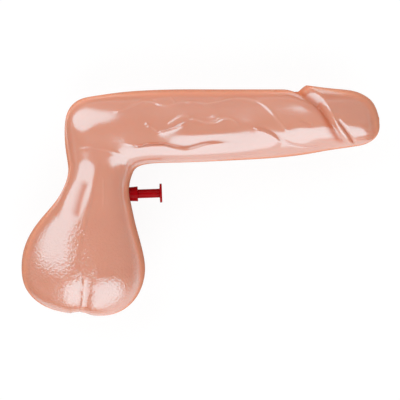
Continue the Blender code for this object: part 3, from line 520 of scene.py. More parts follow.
def boxShape(name, low, high, place=Matrix.Identity(4)):
    bm = bmesh.new()
    bmesh.ops.create_cube(bm, size=1.0)
    middle = [(a + b) / 2.0 * mm for a, b in zip(low, high)]
    size = [(b - a) * mm for a, b in zip(low, high)]
    matrix = place @ Matrix.Translation(middle) @ Matrix.Diagonal((*size, 1.0))
    bmesh.ops.transform(bm, matrix=matrix, verts=bm.verts)
    return objectFrom(name, bm)


def turnedShape(name, profile, sides, place=Matrix.Identity(4), ring=False):
    # turns (along, radius) pairs round local X; a ring's profile closes on itself
    bm = bmesh.new()
    loops = []
    for along, radius in profile:
        if radius < 1e-6:
            loops.append([bm.verts.new(place @ Vector((along * mm, 0.0, 0.0)))])
            continue
        loop = []
        for k in range(sides):
            turn = 2.0 * math.pi * k / sides
            point = Vector((along, radius * math.cos(turn), radius * math.sin(turn)))
            loop.append(bm.verts.new(place @ (point * mm)))
        loops.append(loop)
    pairs = list(zip(loops, loops[1:])) + ([(loops[-1], loops[0])] if ring else [])
    for a, b in pairs:
        for k in range(sides):
            j = (k + 1) % sides
            if len(a) == 1:
                bm.faces.new((a[0], b[j], b[k]))
            elif len(b) == 1:
                bm.faces.new((a[k], a[j], b[0]))
            else:
                bm.faces.new((a[k], a[j], b[j], b[k]))
    bmesh.ops.recalc_face_normals(bm, faces=bm.faces)
    return objectFrom(name, bm)


def roundedProfile(corners, cuts=4):
    # corners of an open profile: (along, radius, rounding); the first and last stay sharp
    made = []
    for i, (along, radius, rounding) in enumerate(corners):
        if rounding <= 0.0:
            made.append((along, radius))
            continue
        here = Vector((along, radius))
        before = Vector(corners[i - 1][:2]) - here
        after = Vector(corners[i + 1][:2]) - here
        reach = min(rounding, before.length * 0.49, after.length * 0.49)
        start = here + before.normalized() * reach
        end = here + after.normalized() * reach
        for k in range(cuts + 1):
            t = k / cuts
            made.append(tuple(start * (1 - t) ** 2 + here * 2 * t * (1 - t) + end * t * t))
    return made


def smoothShade(obj, degrees=35.0):
    obj.data.polygons.foreach_set("use_smooth", [True] * len(obj.data.polygons))
    obj.data.set_sharp_from_angle(angle=math.radians(degrees))


def booleanWith(obj, other, operation):
    modifier = obj.modifiers.new(operation.title(), "BOOLEAN")
    modifier.operation = operation
    modifier.solver = "MANIFOLD"
    modifier.object = other
    graph = bpy.context.evaluated_depsgraph_get()
    mesh = bpy.data.meshes.new_from_object(obj.evaluated_get(graph))
    obj.modifiers.remove(modifier)
    obj.data = mesh
    bpy.data.objects.remove(other, do_unlink=True)


def joinedUp(pieces):
    whole = pieces[0]
    for piece in pieces[1:]:
        booleanWith(whole, piece, "UNION")
    return whole


# Materials

grainDepth = 0.05  # how deep a moulded skin's grain is, except the body's


def linear(hexColour):
    # sRGB hex to the linear colour that shaders use
    values = [int(hexColour[i : i + 2], 16) / 255.0 for i in (1, 3, 5)]
    return [v / 12.92 if v <= 0.04045 else ((v + 0.055) / 1.055) ** 2.4 for v in values] + [1.0]


def addNode(tree, kind, settings=None, links=None):
    # one node with its settings and the sockets that feed it
    node = tree.nodes.new(kind)
    for key, value in (settings or {}).items():
        if key in node.inputs:
            node.inputs[key].default_value = value
        else:
            setattr(node, key, value)
    for key, source in (links or {}).items():
        tree.links.new(source, node.inputs[key])
    return node


def setInputs(node, values):
    for key, value in values.items():
        node.inputs[key].default_value = value


def newMaterial(name):
    material = bpy.data.materials.new(name)
    material.use_nodes = True
    tree = material.node_tree
    return material, tree, tree.nodes["Principled BSDF"]


def mouldedPlastic(name, look):
    # injection-moulded plastic: a broad soft gloss, faint flow marks and a fine skin, whose grain
    # is drawn coarser than the real one so that it shows
    material, tree, shader = newMaterial(name)
    spot = addNode(tree, "ShaderNodeTexCoord").outputs["Object"]
    flow = addNode(tree, "ShaderNodeTexNoise", {"Scale": 1.0 / (look["flowSize"] * mm), "Detail": 3.0},
                   {"Vector": spot})
    colours = {"data_type": "RGBA", "A": linear(look["colour"]), "B": linear(look["second"])}
    shade = addNode(tree, "ShaderNodeMix", colours, {"Factor": flow.outputs["Fac"]})
    tree.links.new(shade.outputs["Result"], shader.inputs["Base Color"])
    gloss = addNode(tree, "ShaderNodeMapRange", {"To Min": look["rough"][0], "To Max": look["rough"][1]},
                    {"Value": flow.outputs["Fac"]})
    tree.links.new(gloss.outputs["Result"], shader.inputs["Roughness"])
    grain = addNode(tree, "ShaderNodeTexNoise", {"Scale": 1.0 / (look["grain"] * mm), "Detail": 2.0},
                    {"Vector": spot})
    bump = addNode(tree, "ShaderNodeBump", {"Strength": look["bump"], "Distance": grainDepth * mm},
                   {"Height": grain.outputs["Fac"]})
    tree.links.new(bump.outputs["Normal"], shader.inputs["Normal"])
    setInputs(shader, {
        "IOR": look["ior"],
        "Specular IOR Level": look.get("gloss", 0.5),
        "Specular Tint": linear(look.get("glossTint", "#FFFFFF")),
    })
    if "depth" in look:
        setInputs(shader, {
            "Subsurface Weight": look["depth"],
            "Subsurface Radius": look["scatter"],
            "Subsurface Scale": look["scatterScale"] * mm,
        })
    return material


def bodyVinyl():
    # soft translucent vinyl that light goes a little way into, with an oily skin and a strong cool gloss;
    # its colour carries painted shade, a deeper orange in thin hollows and at the edges, where the wall is
    # seen edge-on by the joint, and painted highlights on the veins
    look = {
        # after the second colour, each is a painted colour: shade at the edges, shade in hollows, a
        # highlight on veins, and shade along the joint and outline
        "colour": "#DB957A", "second": "#D48C71", "rim": "#A06750", "hollowShade": "#B86444",
        "veinHighlight": "#E9BFAE", "jointAndOutlineShade": "#6E4234",
        "flowSize": 26.0, "grain": 1.3, "bump": 0.5, "grainy": (0.03, 0.6),
        "rough": (0.16, 0.22), "ior": 1.95, "gloss": 1.0, "glossTint": "#B4F0FF",
        "depth": 0.35, "scatter": (1.0, 0.4, 0.25), "scatterScale": 2.5,
    }
    material = mouldedPlastic("translucent_flesh_vinyl_moulded", look)
    tree = material.node_tree
    shader = tree.nodes["Principled BSDF"]
    shade = shader.inputs["Base Color"].links[0].from_socket
    # each attribute mixes in one painted colour: edge shade, shade in hollows, the highlight on veins, and
    # shade along the joint and outline
    layers = {"edgeShadeShare": "rim", "hollowShadeShare": "hollowShade", "crest": "veinHighlight", "jointAndOutlineShadeShare": "jointAndOutlineShade"}
    for attribute, colour in layers.items():
        share = addNode(tree, "ShaderNodeAttribute", {"attribute_name": attribute})
        mix = addNode(tree, "ShaderNodeMix", {"data_type": "RGBA", "B": linear(look[colour])},
                      {"Factor": share.outputs["Fac"], "A": shade})
        shade = mix.outputs["Result"]
    tree.links.new(shade, shader.inputs["Base Color"])
    # by the joint the trimmed mould line is duller; on the bulb and grip the skin is grainy
    edge = addNode(tree, "ShaderNodeAttribute", {"attribute_name": "polish"})
    gloss = addNode(tree, "ShaderNodeMapRange", {"To Max": look["gloss"]}, {"Value": edge.outputs["Fac"]})
    tree.links.new(gloss.outputs["Result"], shader.inputs["Specular IOR Level"])
    skin = addNode(tree, "ShaderNodeAttribute", {"attribute_name": "grain"})
    low, high = look["grainy"]
    rub = addNode(tree, "ShaderNodeMapRange", {"To Min": low * mm, "To Max": high * mm},
                  {"Value": skin.outputs["Fac"]})
    tree.links.new(rub.outputs["Result"], shader.inputs["Normal"].links[0].from_node.inputs["Distance"])
    return material


vinyl = bodyVinyl()
plungerRed = mouldedPlastic("red_abs_moulded", {
    # ABS from a polished mould: clean saturated red with a sharp gloss
    "colour": "#98060D", "second": "#8E040B", "gloss": 0.08, "flowSize": 6.0, "grain": 0.5, "bump": 0.1,
    "rough": (0.12, 0.18), "ior": 1.42,
})
paleAcetal = mouldedPlastic("natural_acetal_moulded", {
    # natural acetal: milky white, satin and a little waxy
    "colour": "#E4E2DA", "second": "#DAD8CF", "flowSize": 8.0, "grain": 0.6, "bump": 0.06,
    "rough": (0.36, 0.46), "ior": 1.48, "depth": 0.15, "scatter": (1.0, 0.95, 0.9), "scatterScale": 1.0,
})
softTube = mouldedPlastic("clear_pvc_tube_extruded", {
    # soft PVC tubing: milky clear, with a smooth drawn skin
    "colour": "#D9DEDD", "second": "#D0D6D6", "flowSize": 14.0, "grain": 1.5, "bump": 0.03,
    "rough": (0.18, 0.26), "ior": 1.53, "depth": 0.4, "scatter": (1.0, 1.0, 1.0), "scatterScale": 1.5,
})
blackRubber = mouldedPlastic("nitrile_rubber_moulded", {
    # nitrile rubber: near black and dull, with a dusty skin
    "colour": "#1E1E1F", "second": "#262627", "flowSize": 3.0, "grain": 0.25, "bump": 0.25,
    "rough": (0.55, 0.7), "ior": 1.5,
})
plugRubber = mouldedPlastic("flesh_rubber_stopper_moulded", {
    # soft stopper rubber in the body's colour: duller than the body
    "colour": "#CF8C74", "second": "#C8856E", "flowSize": 5.0, "grain": 0.3, "bump": 0.2,
    "rough": (0.42, 0.52), "ior": 1.5, "depth": 0.2, "scatter": (1.0, 0.35, 0.2), "scatterScale": 2.0,
})


def metalFinish(name, colour, rough, mottle):
    # stainless steel: a plain bright colour whose gloss varies a little over the surface
    material, tree, shader = newMaterial(name)
    spot = addNode(tree, "ShaderNodeTexCoord").outputs["Object"]
    uneven = addNode(tree, "ShaderNodeTexNoise", {"Scale": 1.0 / (mottle * mm), "Detail": 2.0},
                     {"Vector": spot})
    gloss = addNode(tree, "ShaderNodeMapRange", {"To Min": rough[0], "To Max": rough[1]},
                    {"Value": uneven.outputs["Fac"]})
    tree.links.new(gloss.outputs["Result"], shader.inputs["Roughness"])
    setInputs(shader, {"Base Color": linear(colour), "Metallic": 1.0})
    return material


# drawn wire is satin, and a polished ball is nearly a mirror
springWire = metalFinish("stainless_spring_wire_drawn", "#B9B9BC", (0.22, 0.36), 0.3)
polishedBall = metalFinish("stainless_ball_polished", "#C6C6CA", (0.08, 0.14), 0.5)
print("materials made")


# Body halves

# Places along the pump are measured from the front of the neck, positive outwards.
pump = {
    "neckFront": -39.2, "axisY": 3.43, "tilt": 2.0,
    "discDia": 10.5, "discThick": 1.3, "discFace": 18.1, "rodDia": 4.9,
    "collarDia": 7.7, "collarEndDia": 8.3, "collarOut": 4.8, "holeGap": 0.2, "runGap": 0.15,
    "bossFace": -3.4, "bossDia": 13.0, "bossFront": 3.0, "gasket": 1.2, "flange": 1.2,
    "cylinderDia": 9.6, "boreDia": 7.0, "endWall": 0.8, "pistonDia": 6.6, "pistonLength": 4.0,
    "stroke": 10.2, "touch": 0.05, "ringWire": 1.3, "ringGap": 0.1,
    "springWire": 0.6, "springDia": 6.2, "springTurns": 6,
}
pumpPlace = Matrix.Translation(Vector((pump["neckFront"], pump["axisY"], parting)) * mm) @ Matrix.Rotation(
    math.radians(pump["tilt"]), 4, "Z"
)
mouth = pump["bossFace"] - 2.0 * pump["touch"] - pump["gasket"]
pistonFront = mouth - pump["touch"]
pistonBack = pistonFront - pump["pistonLength"]
springSolid = pump["springWire"] * (pump["springTurns"] + 1)
boreEnd = pistonBack - pump["stroke"] - springSolid - 2.0 * pump["touch"]
cylinderBack = boreEnd - pump["endWall"]
flangeBack = mouth - pump["flange"]

# Ribs and bosses inside the halves. A rib reaches past the wall before it is trimmed, and a cut
# reaches past the face that it opens.
inside = {
    "ribThick": 1.4, "ribEndGap": 0.15, "ribReach": 30.0, "seatGap": 0.15, "seatEnds": 0.5,
    "saddleHalf": 8.0, "saddleBehindFlange": 1.6, "saddleBeforeEnd": 3.0,
    "tubeRibHalf": 5.0, "tubeRibs": (50.0, 5.0, -35.0), "tubeDia": 4.0, "tubeCut": 150.0,
    "nozzleRib": 93.5, "nozzleRibHalf": 7.0, "nozzleDia": 5.0, "nozzleFlangeDia": 7.4,
    "nozzleBack": 94.0, "nozzleOut": 3.0, "nozzleEndGap": 0.2, "nozzleFlangeCut": 1.25,
    "suctionRib": (-65.5, -30.0), "suctionRibHalf": 5.0, "suctionGap": 0.5,
    "bossRoom": ((-60.0, -20.0), (-20.0, 30.0)), "past": 1.0, "farPast": 5.0,
}
plug = {"x": -56.0, "y": 25.0, "headDia": 9.0, "head": 1.2, "stemDia": 5.6, "stem": 3.4, "gap": 0.2,
        "bossDia": 13.0, "bossDeep": 4.2, "bossStart": -2.0}
plug["face"] = nodeBox["filler_plug"][0][2] / mm
nozzleBack = inside["nozzleBack"] - body["tip"][0]
nozzlePlace = Matrix.Translation(Vector((*body["tip"], parting)) * mm)
plugPlace = Matrix.Translation(Vector((plug["x"], plug["y"], 0.0)) * mm) @ Matrix.Rotation(
    -math.pi / 2.0, 4, "Y"
)


def rodShape(name, radius, low, high, place, sides=64):
    profile = [(low, 0.0), (low, radius), (high, radius), (high, 0.0)]
    return turnedShape(name, profile, sides, place)


def addMouldings(shell, side):
    # ribs and bosses, trimmed to half way through the wall and joined to it
    step = body["lipHeight"] + body["lipTopGap"] if side > 0 else 0.0
    ends = sorted((side * (step + inside["ribEndGap"]), side * inside["ribReach"]))
    thick, tipY = inside["ribThick"], body["tip"][1]
    ribs = []
    half = inside["saddleHalf"]
    for at in (flangeBack - inside["saddleBehindFlange"], cylinderBack + inside["saddleBeforeEnd"]):
        ribs.append(boxShape("rib", (at - thick, -half, ends[0]), (at, half, ends[1]), pumpPlace))
    ends = [parting + e for e in ends]
    tubeRibs = [(at, inside["tubeRibHalf"]) for at in inside["tubeRibs"]]
    for at, half in [(inside["nozzleRib"], inside["nozzleRibHalf"])] + tubeRibs:
        ribs.append(boxShape("rib", (at - thick, tipY - half, ends[0]), (at, tipY + half, ends[1])))
    x, y = inside["suctionRib"]
    half = inside["suctionRibHalf"]
    ribs.append(boxShape("rib", (x - half, y - thick, ends[0]), (x + half, y, ends[1])))
    boss = rodShape("boss", pump["bossDia"] / 2.0, pump["bossFace"], pump["bossFront"], pumpPlace)
    low, high = inside["bossRoom"]
    booleanWith(boss, boxShape("keep", (*low, ends[0]), (*high, ends[1])), "INTERSECT")
    ribs.append(boss)
    if side < 0:
        ribs.append(rodShape("boss", plug["bossDia"] / 2.0, plug["bossStart"],
                             plug["face"] + plug["bossDeep"], plugPlace))
    grid = placedGrid(bodyGrid(farGrid, body["stepsInside"], body["wall"] / 2.0), side)
    rim = rimOf(grid)
    core = gridMesh("core", [
        (grid.reshape(-1, 3), skinFaces(grid.shape[0] - 1, body["stepsInside"])),
        (rim, [list(range(len(rim)))]),
    ])
    whole = joinedUp(ribs)
    booleanWith(whole, core, "INTERSECT")
    booleanWith(shell, whole, "UNION")


def cutOpenings(shell, side):
    # room for the collar, the cylinder, the nozzle, both tubes and, in the left half, the stopper
    gap, ends, endGap = inside["seatGap"], inside["seatEnds"], inside["nozzleEndGap"]
    past, farPast = inside["past"], inside["farPast"]
    x, y = inside["suctionRib"]
    upright = Matrix.Translation(Vector((x, y, parting)) * mm) @ Matrix.Rotation(math.pi / 2.0, 4, "Z")
    cuts = [
        (pump["collarDia"], pump["holeGap"], pump["bossFace"] - past, pump["bossFront"] + past,
         pumpPlace),
        (pump["cylinderDia"], gap, cylinderBack + ends, flangeBack - ends, pumpPlace),
        (inside["nozzleDia"], gap, nozzleBack + endGap, inside["nozzleOut"], nozzlePlace),
        (inside["nozzleFlangeDia"], gap, nozzleBack - endGap,
         nozzleBack + inside["nozzleFlangeCut"], nozzlePlace),
        (inside["tubeDia"], gap, -inside["tubeCut"], nozzleBack, nozzlePlace),
        (inside["tubeDia"], inside["suctionGap"], -farPast, farPast, upright),
    ]
    if side < 0:
        face = plug["face"]
        seat = face + plug["head"] + pump["touch"]
        cuts.append((plug["headDia"], plug["gap"], -farPast, seat, plugPlace))
        cuts.append((plug["stemDia"], plug["gap"], face - past, face + plug["bossDeep"] + past, plugPlace))
    rods = [rodShape("cut", dia / 2.0 + room, low, high, place) for dia, room, low, high, place in cuts]
    booleanWith(shell, joinedUp(rods), "DIFFERENCE")


# How the vinyl's colour and gloss change over the skin: painted shade at the edges, along the joint and
# down in hollows, and painted highlights on the veins. Each pair is two distances from the joint, between
# which a share comes or goes, except grainFrom, whose heights are in the side view. The painted edge
# shade's loss and polishBelow hold where the skin faces the bottom of that view, where the light from
# below falls. The widths of the painted shade in creases and folds and of the painted highlight on veins
# are shares of the relief's own.
paint = {
    "rim": 0.58, "edgeShadeFrom": (6.0, 13.0), "edgeShadeLossBelow": 0.7,
    "jointAndOutlineShade": 0.45, "outlineShadeFrom": (1.0, 6.0),
    "joint": 0.95, "jointFrom": (0.1, 0.9),
    "polishFrom": (10.0, 14.0), "polishBelow": (6.0, 9.5), "dull": 0.85,
    "hollowShadeShare": 0.85, "creaseAbove": 0.6, "foldAbove": 0.3, "foldBelow": 0.7,
    "grooveAt": 4.2, "grooveHalf": 1.8,
    "crest": 0.7, "veinWidth": 0.8, "ends": 6.0,
    "grainFrom": (0.0, -24.0),
}


def vertexValues(mesh, kind):
    values = np.empty(len(mesh.vertices) * 3)
    mesh.vertices.foreach_get(kind, values)
    return values.reshape(-1, 3).T


def paintShell(shell):
    # attributes for the vinyl, from nearness to the joint, depth in a hollow and height on a vein: painted
    # shade at the edges, in hollows and along the joint and outline, a painted highlight on the veins, the
    # grain, and polish, which the mould loses down in a fold
    x, y, z = vertexValues(shell.data, "co") / mm
    across, up, _ = vertexValues(shell.data, "normal")
    rise = np.abs(z - parting)
    # painted shade along the joint and outline: a dark joint line, and beside it a darker band where the
    # wall is seen edge-on
    jointAndOutlineShade = paint["jointAndOutlineShade"] * (1.0 - shareBetween(rise, *paint["outlineShadeFrom"]))
    jointAndOutlineShade = np.maximum(jointAndOutlineShade, paint["joint"] * (1.0 - shareBetween(rise, *paint["jointFrom"])))
    grain = shareBetween(y, *paint["grainFrom"])
    facesDown = np.clip(-up / np.maximum(np.hypot(across, up), 1e-6), 0.0, 1.0)
    (first, last), (firstBelow, lastBelow) = paint["polishFrom"], paint["polishBelow"]
    first = first + (firstBelow - first) * facesDown
    last = last + (lastBelow - last) * facesDown
    # painted edge shade, a deeper orange where the wall is seen edge-on, with less of it where the skin
    # faces down towards the light from below
    rim = (1.0 - shareBetween(rise, *paint["edgeShadeFrom"])) * (1.0 - paint["edgeShadeLossBelow"] * facesDown)
    # painted shade down in creases and folds
    hollowShade = np.zeros(len(x))
    for _, above, below, dark, line in creases:
        shape = stroke(line, x, y, above * paint["creaseAbove"], below, paint["ends"])
        hollowShade = np.maximum(hollowShade, dark * shape)
    for _, width, _, dark, line in folds:
        shape = stroke(line, x, y, width * paint["foldAbove"], width * paint["foldBelow"], comesUp["fold"])
        hollowShade = np.maximum(hollowShade, dark * shape)
    # painted shade in the groove behind the ridge
    away, side, _ = lineDistance(roundedLine(ridge["line"]), x, y)
    behind = np.exp(-(((-away * side - paint["grooveAt"]) / paint["grooveHalf"]) ** 2))
    hollowShade = np.maximum(hollowShade, behind * (1.0 - shareBetween(y, *ridge["end"])))
    # painted highlight along the veins
    high = np.zeros(len(x))
    for height, width, line in veins:
        half = width * paint["veinWidth"]
        high = np.maximum(high, height * stroke(line, x, y, half, half, paint["ends"]))
    for name, values in (
        ("edgeShadeShare", rim * paint["rim"]),
        ("hollowShadeShare", hollowShade * paint["hollowShadeShare"]),
        ("crest", high * paint["crest"]),
        ("jointAndOutlineShadeShare", jointAndOutlineShade),
        ("grain", grain),
        ("polish", shareBetween(rise, first, last) * (1.0 - paint["dull"] * np.clip(hollowShade, 0.0, 1.0))),
    ):
        layer = shell.data.attributes.new(name, "FLOAT", "POINT")
        layer.data.foreach_set("value", np.clip(values, 0.0, 1.0))


def fitPiece(obj, material, node, bodyName):
    # booleans and node trees leave a material slot of their own, which would come first
    obj.data.materials.clear()
    obj.data.materials.append(material)
    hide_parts(node)
    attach(obj, bodyName)


for name, node, side, fineness in (
    ("right_shell", "right_body_half", 1.0, seenGrid),
    ("left_shell", "left_body_half", -1.0, farGrid),
):
    shell = makeShell(name, side, fineness)
    addMouldings(shell, side)
    cutOpenings(shell, side)
    smoothShade(shell, body["sharpFrom"])
    paintShell(shell)
    fitPiece(shell, vinyl, node, "body")
    print(name, "made,", len(shell.data.polygons), "faces")


# Plunger, collar, nozzle and stopper


def makePlunger():
    rod, disc = pump["rodDia"] / 2.0, pump["discDia"] / 2.0
    face, piston = pump["discFace"], pump["pistonDia"] / 2.0
    back = face - pump["discThick"]
    ringAt = (pistonFront + pistonBack) / 2.0
    ringOuter = pump["boreDia"] / 2.0 - pump["ringGap"]
    groove = ringOuter - pump["ringWire"] - pump["ringGap"]
    half = pump["ringWire"] / 2.0 + pump["ringGap"]
    corners = [
        (face, 0.0, 0.0), (face, disc, 0.3), (back, disc, 0.25), (back, rod, 0.6),
        (pistonFront, rod, 0.0), (pistonFront, piston, 0.2),
        (ringAt + half, piston, 0.0), (ringAt + half, groove, 0.0),
        (ringAt - half, groove, 0.0), (ringAt - half, piston, 0.0),
        (pistonBack, piston, 0.3), (pistonBack, 0.0, 0.0),
    ]
    return turnedShape("plunger", roundedProfile(corners), sides=96, place=pumpPlace)


def makeCollar():
    bore = pump["rodDia"] / 2.0 + pump["runGap"]
    end, near, out = pump["collarEndDia"] / 2.0, pump["collarDia"] / 2.0, pump["collarOut"]
    corners = [(mouth, bore, 0.0), (out, bore, 0.12), (out, end, 0.22), (0.0, near, 0.0),
               (mouth, near, 0.0)]
    profile = roundedProfile(corners, cuts=3)
    return turnedShape("collar", profile, sides=96, place=pumpPlace, ring=True)


nozzle = {"jet": 0.6, "flare": 0.45, "dish": 0.25, "flange": 1.2, "tail": 1.15, "tailLength": 5.0}


def makeNozzle():
    jet, tail, tailEnd = nozzle["jet"], nozzle["tail"], nozzleBack - nozzle["tailLength"]
    plain, wide = inside["nozzleDia"] / 2.0, inside["nozzleFlangeDia"] / 2.0
    shoulder = nozzleBack + nozzle["flange"]
    corners = [
        (tailEnd, jet, 0.0), (-nozzle["dish"], jet, 0.0), (0.0, jet + nozzle["flare"], 0.1),
        (0.0, plain, 0.35), (shoulder, plain, 0.0), (shoulder, wide, 0.1), (nozzleBack, wide, 0.1),
        (nozzleBack, tail, 0.0), (tailEnd, tail, 0.0),
    ]
    return turnedShape("nozzle", roundedProfile(corners), sides=64, place=nozzlePlace, ring=True)


def makeStopper():
    head, stem, face = plug["headDia"] / 2.0, plug["stemDia"] / 2.0, plug["face"]
    under = face + plug["head"]
    end = under + plug["stem"]
    corners = [(face, 0.0, 0.0), (face, head, 0.4), (under, head, 0.15), (under, stem, 0.2),
               (end, stem, 0.5), (end, 0.0, 0.0)]
    return turnedShape("stopper", roundedProfile(corners), sides=72, place=plugPlace)


for piece, material, node, slot, bodyName in (
    (makePlunger(), plungerRed, "trigger_plunger", "plunger_red", "trigger"),
    (makeCollar(), plungerRed, "plunger_collar", "plunger_red", "body"),
    (makeNozzle(), vinyl, "nozzle_insert", "nozzle_plastic", "body"),
    (makeStopper(), plugRubber, "filler_plug", "plug_rubber", "filler_plug"),
):
    smoothShade(piece)
    fitPiece(piece, material, node, bodyName)
print("plunger, collar, nozzle and stopper made")


# Return spring, by Geometry Nodes

spring = {
    "turns": pump["springTurns"],
    "length": pistonBack - boreEnd - 2.0 * pump["touch"] - pump["springWire"],
    "radius": (pump["springDia"] - pump["springWire"]) / 2.0,
    "wire": pump["springWire"] / 2.0,
    "start": boreEnd + pump["touch"] + pump["springWire"] / 2.0,
    "stepsRound": 36,
    "wireSides": 14,
}


def springTree():
    tree = bpy.data.node_groups.new("coilSpring", "GeometryNodeTree")
    sizes = {
        "Turns": spring["turns"],
        "Length": spring["length"] * mm,
        "Coil Radius": spring["radius"] * mm,
        "Wire Radius": spring["wire"] * mm,
    }
    values = {}
    for label, size in sizes.items():
        socket = tree.interface.new_socket(label, in_out="INPUT", socket_type="NodeSocketFloat")
        values[socket.identifier] = float(size)
    tree.interface.new_socket("Geometry", in_out="OUTPUT", socket_type="NodeSocketGeometry")
    inputs = addNode(tree, "NodeGroupInput")
    coil = addNode(tree, "GeometryNodeCurveSpiral", {"Resolution": spring["stepsRound"]}, {
        "Rotations": inputs.outputs["Turns"], "Height": inputs.outputs["Length"],
        "Start Radius": inputs.outputs["Coil Radius"], "End Radius": inputs.outputs["Coil Radius"],
    })
    wire = addNode(tree, "GeometryNodeCurvePrimitiveCircle", {"Resolution": spring["wireSides"]},
                   {"Radius": inputs.outputs["Wire Radius"]})
    tube = addNode(tree, "GeometryNodeCurveToMesh", {"Fill Caps": True},
                   {"Curve": coil.outputs["Curve"], "Profile Curve": wire.outputs["Curve"]})
    smooth = addNode(tree, "GeometryNodeSetShadeSmooth", None, {"Geometry": tube.outputs["Mesh"]})
    real = addNode(tree, "GeometryNodeRealizeInstances", None, {"Geometry": smooth.outputs["Geometry"]})
    coat = addNode(tree, "GeometryNodeSetMaterial", {"Material": springWire},
                   {"Geometry": real.outputs["Geometry"]})
    addNode(tree, "NodeGroupOutput", None, {"Geometry": coat.outputs["Geometry"]})
    return tree, values


def bakeNodes(name, tree, values):
    # runs the tree once on an empty mesh and keeps the result as a plain mesh
    holder = linkedObject(name + "_holder", bpy.data.meshes.new(name + "_holder"))
    modifier = holder.modifiers.new("Nodes", "NODES")
    modifier.node_group = tree
    for identifier, value in values.items():
        modifier[identifier] = value
    graph = bpy.context.evaluated_depsgraph_get()
    mesh = bpy.data.meshes.new_from_object(holder.evaluated_get(graph))
    bpy.data.objects.remove(holder, do_unlink=True)
    return linkedObject(name, mesh)


coilSpring = bakeNodes("spring_coil", *springTree())
# the spiral climbs local Z; lay it along the pump's axis
springPlace = pumpPlace @ Matrix.Translation((spring["start"] * mm, 0.0, 0.0))
coilSpring.data.transform(springPlace @ Matrix.Rotation(math.pi / 2.0, 4, "Y"))
fitPiece(coilSpring, springWire, "return_spring", "body")
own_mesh(coilSpring)
print("spring made")


# The hidden pump keeps its solids, with real finishes

hiddenFinish = {
    "pump_cylinder": paleAcetal,
    "valve_block": paleAcetal,
    "inlet_spigot": paleAcetal,
    "outlet_spigot": paleAcetal,
    "suction_tube": softTube,
    "delivery_tube": softTube,
    "piston_o_ring": blackRubber,
    "mouth_gasket": blackRubber,
    "inlet_ball": polishedBall,
    "outlet_ball": polishedBall,
}
for name, material in hiddenFinish.items():
    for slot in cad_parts[name].material_slots:
        slot.material = material


# Floor, light and camera

# Sizes of the floor and the flags are in metres. A flag is left, bottom, right, top. "seen" is
# the share of plain white in what camera, gloss and transmission see of the floor.
stage = {
    "floorSize": 6.0, "floorColour": "#FFFFFF", "seen": 0.9, "matt": 0.9, "world": 0.2,
    "flagColour": "#161616", "flagHeight": 0.001,
    "flags": [(-0.7, -0.7, -0.113, 0.7), (-0.113, 0.113, 0.7, 0.7), (-0.113, -0.7, -0.03, -0.113),
              (0.16, -0.7, 0.7, 0.113), (0.113, -0.062, 0.16, 0.113)],
}


def flatSheet(name, places, height):
    # flat rectangles at one height, as one piece of the stage
    corners, faces = [], []
    for left, bottom, right, top in places:
        start = len(corners)
        corners += [(left, bottom, height), (right, bottom, height)]
        corners += [(right, top, height), (left, top, height)]
        faces.append((start, start + 1, start + 2, start + 3))
    mesh = bpy.data.meshes.new(name)
    mesh.from_pydata(corners, [], faces)
    obj = linkedObject(name, mesh)
    obj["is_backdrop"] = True
    return obj


def makeFloor():
    # matt white paper: nearly plain white to the eye, with a faint shadow of the object
    half = stage["floorSize"] / 2.0
    floor = flatSheet("floor", [(-half, -half, half, half)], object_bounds()[0][2])
    material, tree, shader = newMaterial("white_paper_sweep")
    setInputs(shader, {
        "Base Color": linear(stage["floorColour"]), "Roughness": stage["matt"], "Specular IOR Level": 0.0,
    })
    glow = addNode(tree, "ShaderNodeEmission", {"Color": (1.0, 1.0, 1.0, 1.0), "Strength": 1.0})
    path = addNode(tree, "ShaderNodeLightPath")
    share = path.outputs["Is Camera Ray"]
    for ray in ("Is Glossy Ray", "Is Transmission Ray"):
        both = addNode(tree, "ShaderNodeMath", {"operation": "MAXIMUM"}, {0: share, 1: path.outputs[ray]})
        share = both.outputs["Value"]
    seen = addNode(tree, "ShaderNodeMapRange", {"To Max": stage["seen"]}, {"Value": share})
    white = addNode(tree, "ShaderNodeMixShader", None, {
        "Fac": seen.outputs["Result"], 1: shader.outputs["BSDF"], 2: glow.outputs["Emission"],
    })
    tree.links.new(white.outputs["Shader"], tree.nodes["Material Output"].inputs["Surface"])
    floor.data.materials.append(material)


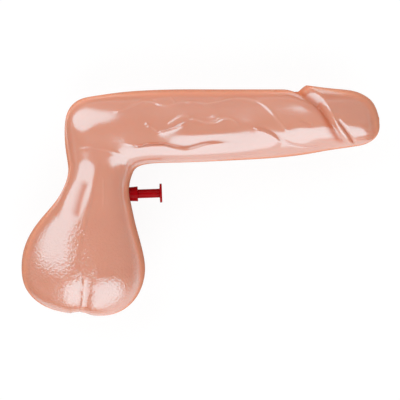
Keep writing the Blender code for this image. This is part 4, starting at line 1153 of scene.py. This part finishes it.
def makeFlags():
    # dark flags lie round the view, so that the edges of the body keep their own colour
    flags = flatSheet("flags", stage["flags"], stage["flagHeight"])
    flags.visible_camera = flags.visible_diffuse = flags.visible_shadow = False
    material, _, shader = newMaterial("black_felt_flag")
    setInputs(shader, {"Base Color": linear(stage["flagColour"]), "Roughness": stage["matt"]})
    flags.data.materials.append(material)


# Softboxes: direction of the middle in degrees (round from +X, down from overhead), size
# across and along that direction in metres, and power. All stand one metre away, and the
# gloss doesn't mirror the fill lamp.
softboxes = {
    "softbox_rear": {"shape": "ELLIPSE", "round": 142.0, "down": 53.0, "size": (1.24, 1.44),
                     "power": 8.8, "mirrored": True},
    "softbox_below": {"shape": "RECTANGLE", "round": 281.0, "down": 54.0, "size": (1.6, 1.4),
                      "power": 15.0, "mirrored": True},
    "fill_front": {"shape": "RECTANGLE", "round": 62.0, "down": 66.0, "size": (1.6, 1.0),
                   "power": 6.5, "mirrored": False},
}


def addSoftbox(name, box):
    lamp = bpy.data.lights.new(name, "AREA")
    lamp.shape = box["shape"]
    lamp.size, lamp.size_y = box["size"]
    lamp.energy = box["power"]
    obj = linkedObject(name, lamp)
    turn, down = math.radians(box["round"]), math.radians(box["down"])
    obj.location = (math.sin(down) * math.cos(turn), math.sin(down) * math.sin(turn), math.cos(down))
    # the lamp shines along its local -Z, with its height towards overhead
    obj.rotation_euler = (down, 0.0, turn + math.pi / 2.0)
    obj.visible_glossy = box["mirrored"]


makeFloor()
makeFlags()
for name, box in softboxes.items():
    addSoftbox(name, box)

world = bpy.data.worlds.new("studio")
world.use_nodes = True
setInputs(world.node_tree.nodes["Background"], {
    "Color": (1.0, 1.0, 1.0, 1.0), "Strength": stage["world"],
})
bpy.context.scene.world = world
bpy.context.scene.view_settings.view_transform = "Standard"

# a long lens that takes in a field this wide; a camera without a turn looks straight down
view = {"lens": 400.0, "sensor": 36.0, "wide": 220.0, "middle": (-0.25, 0.22)}
camera = bpy.data.cameras.new("camera")
camera.lens = view["lens"]
camera.sensor_width = view["sensor"]
eye = linkedObject("camera", camera)
reach = view["wide"] * view["lens"] / view["sensor"]
eye.location = Vector((*view["middle"], parting + reach)) * mm
bpy.context.scene.camera = eye
print("stage set")
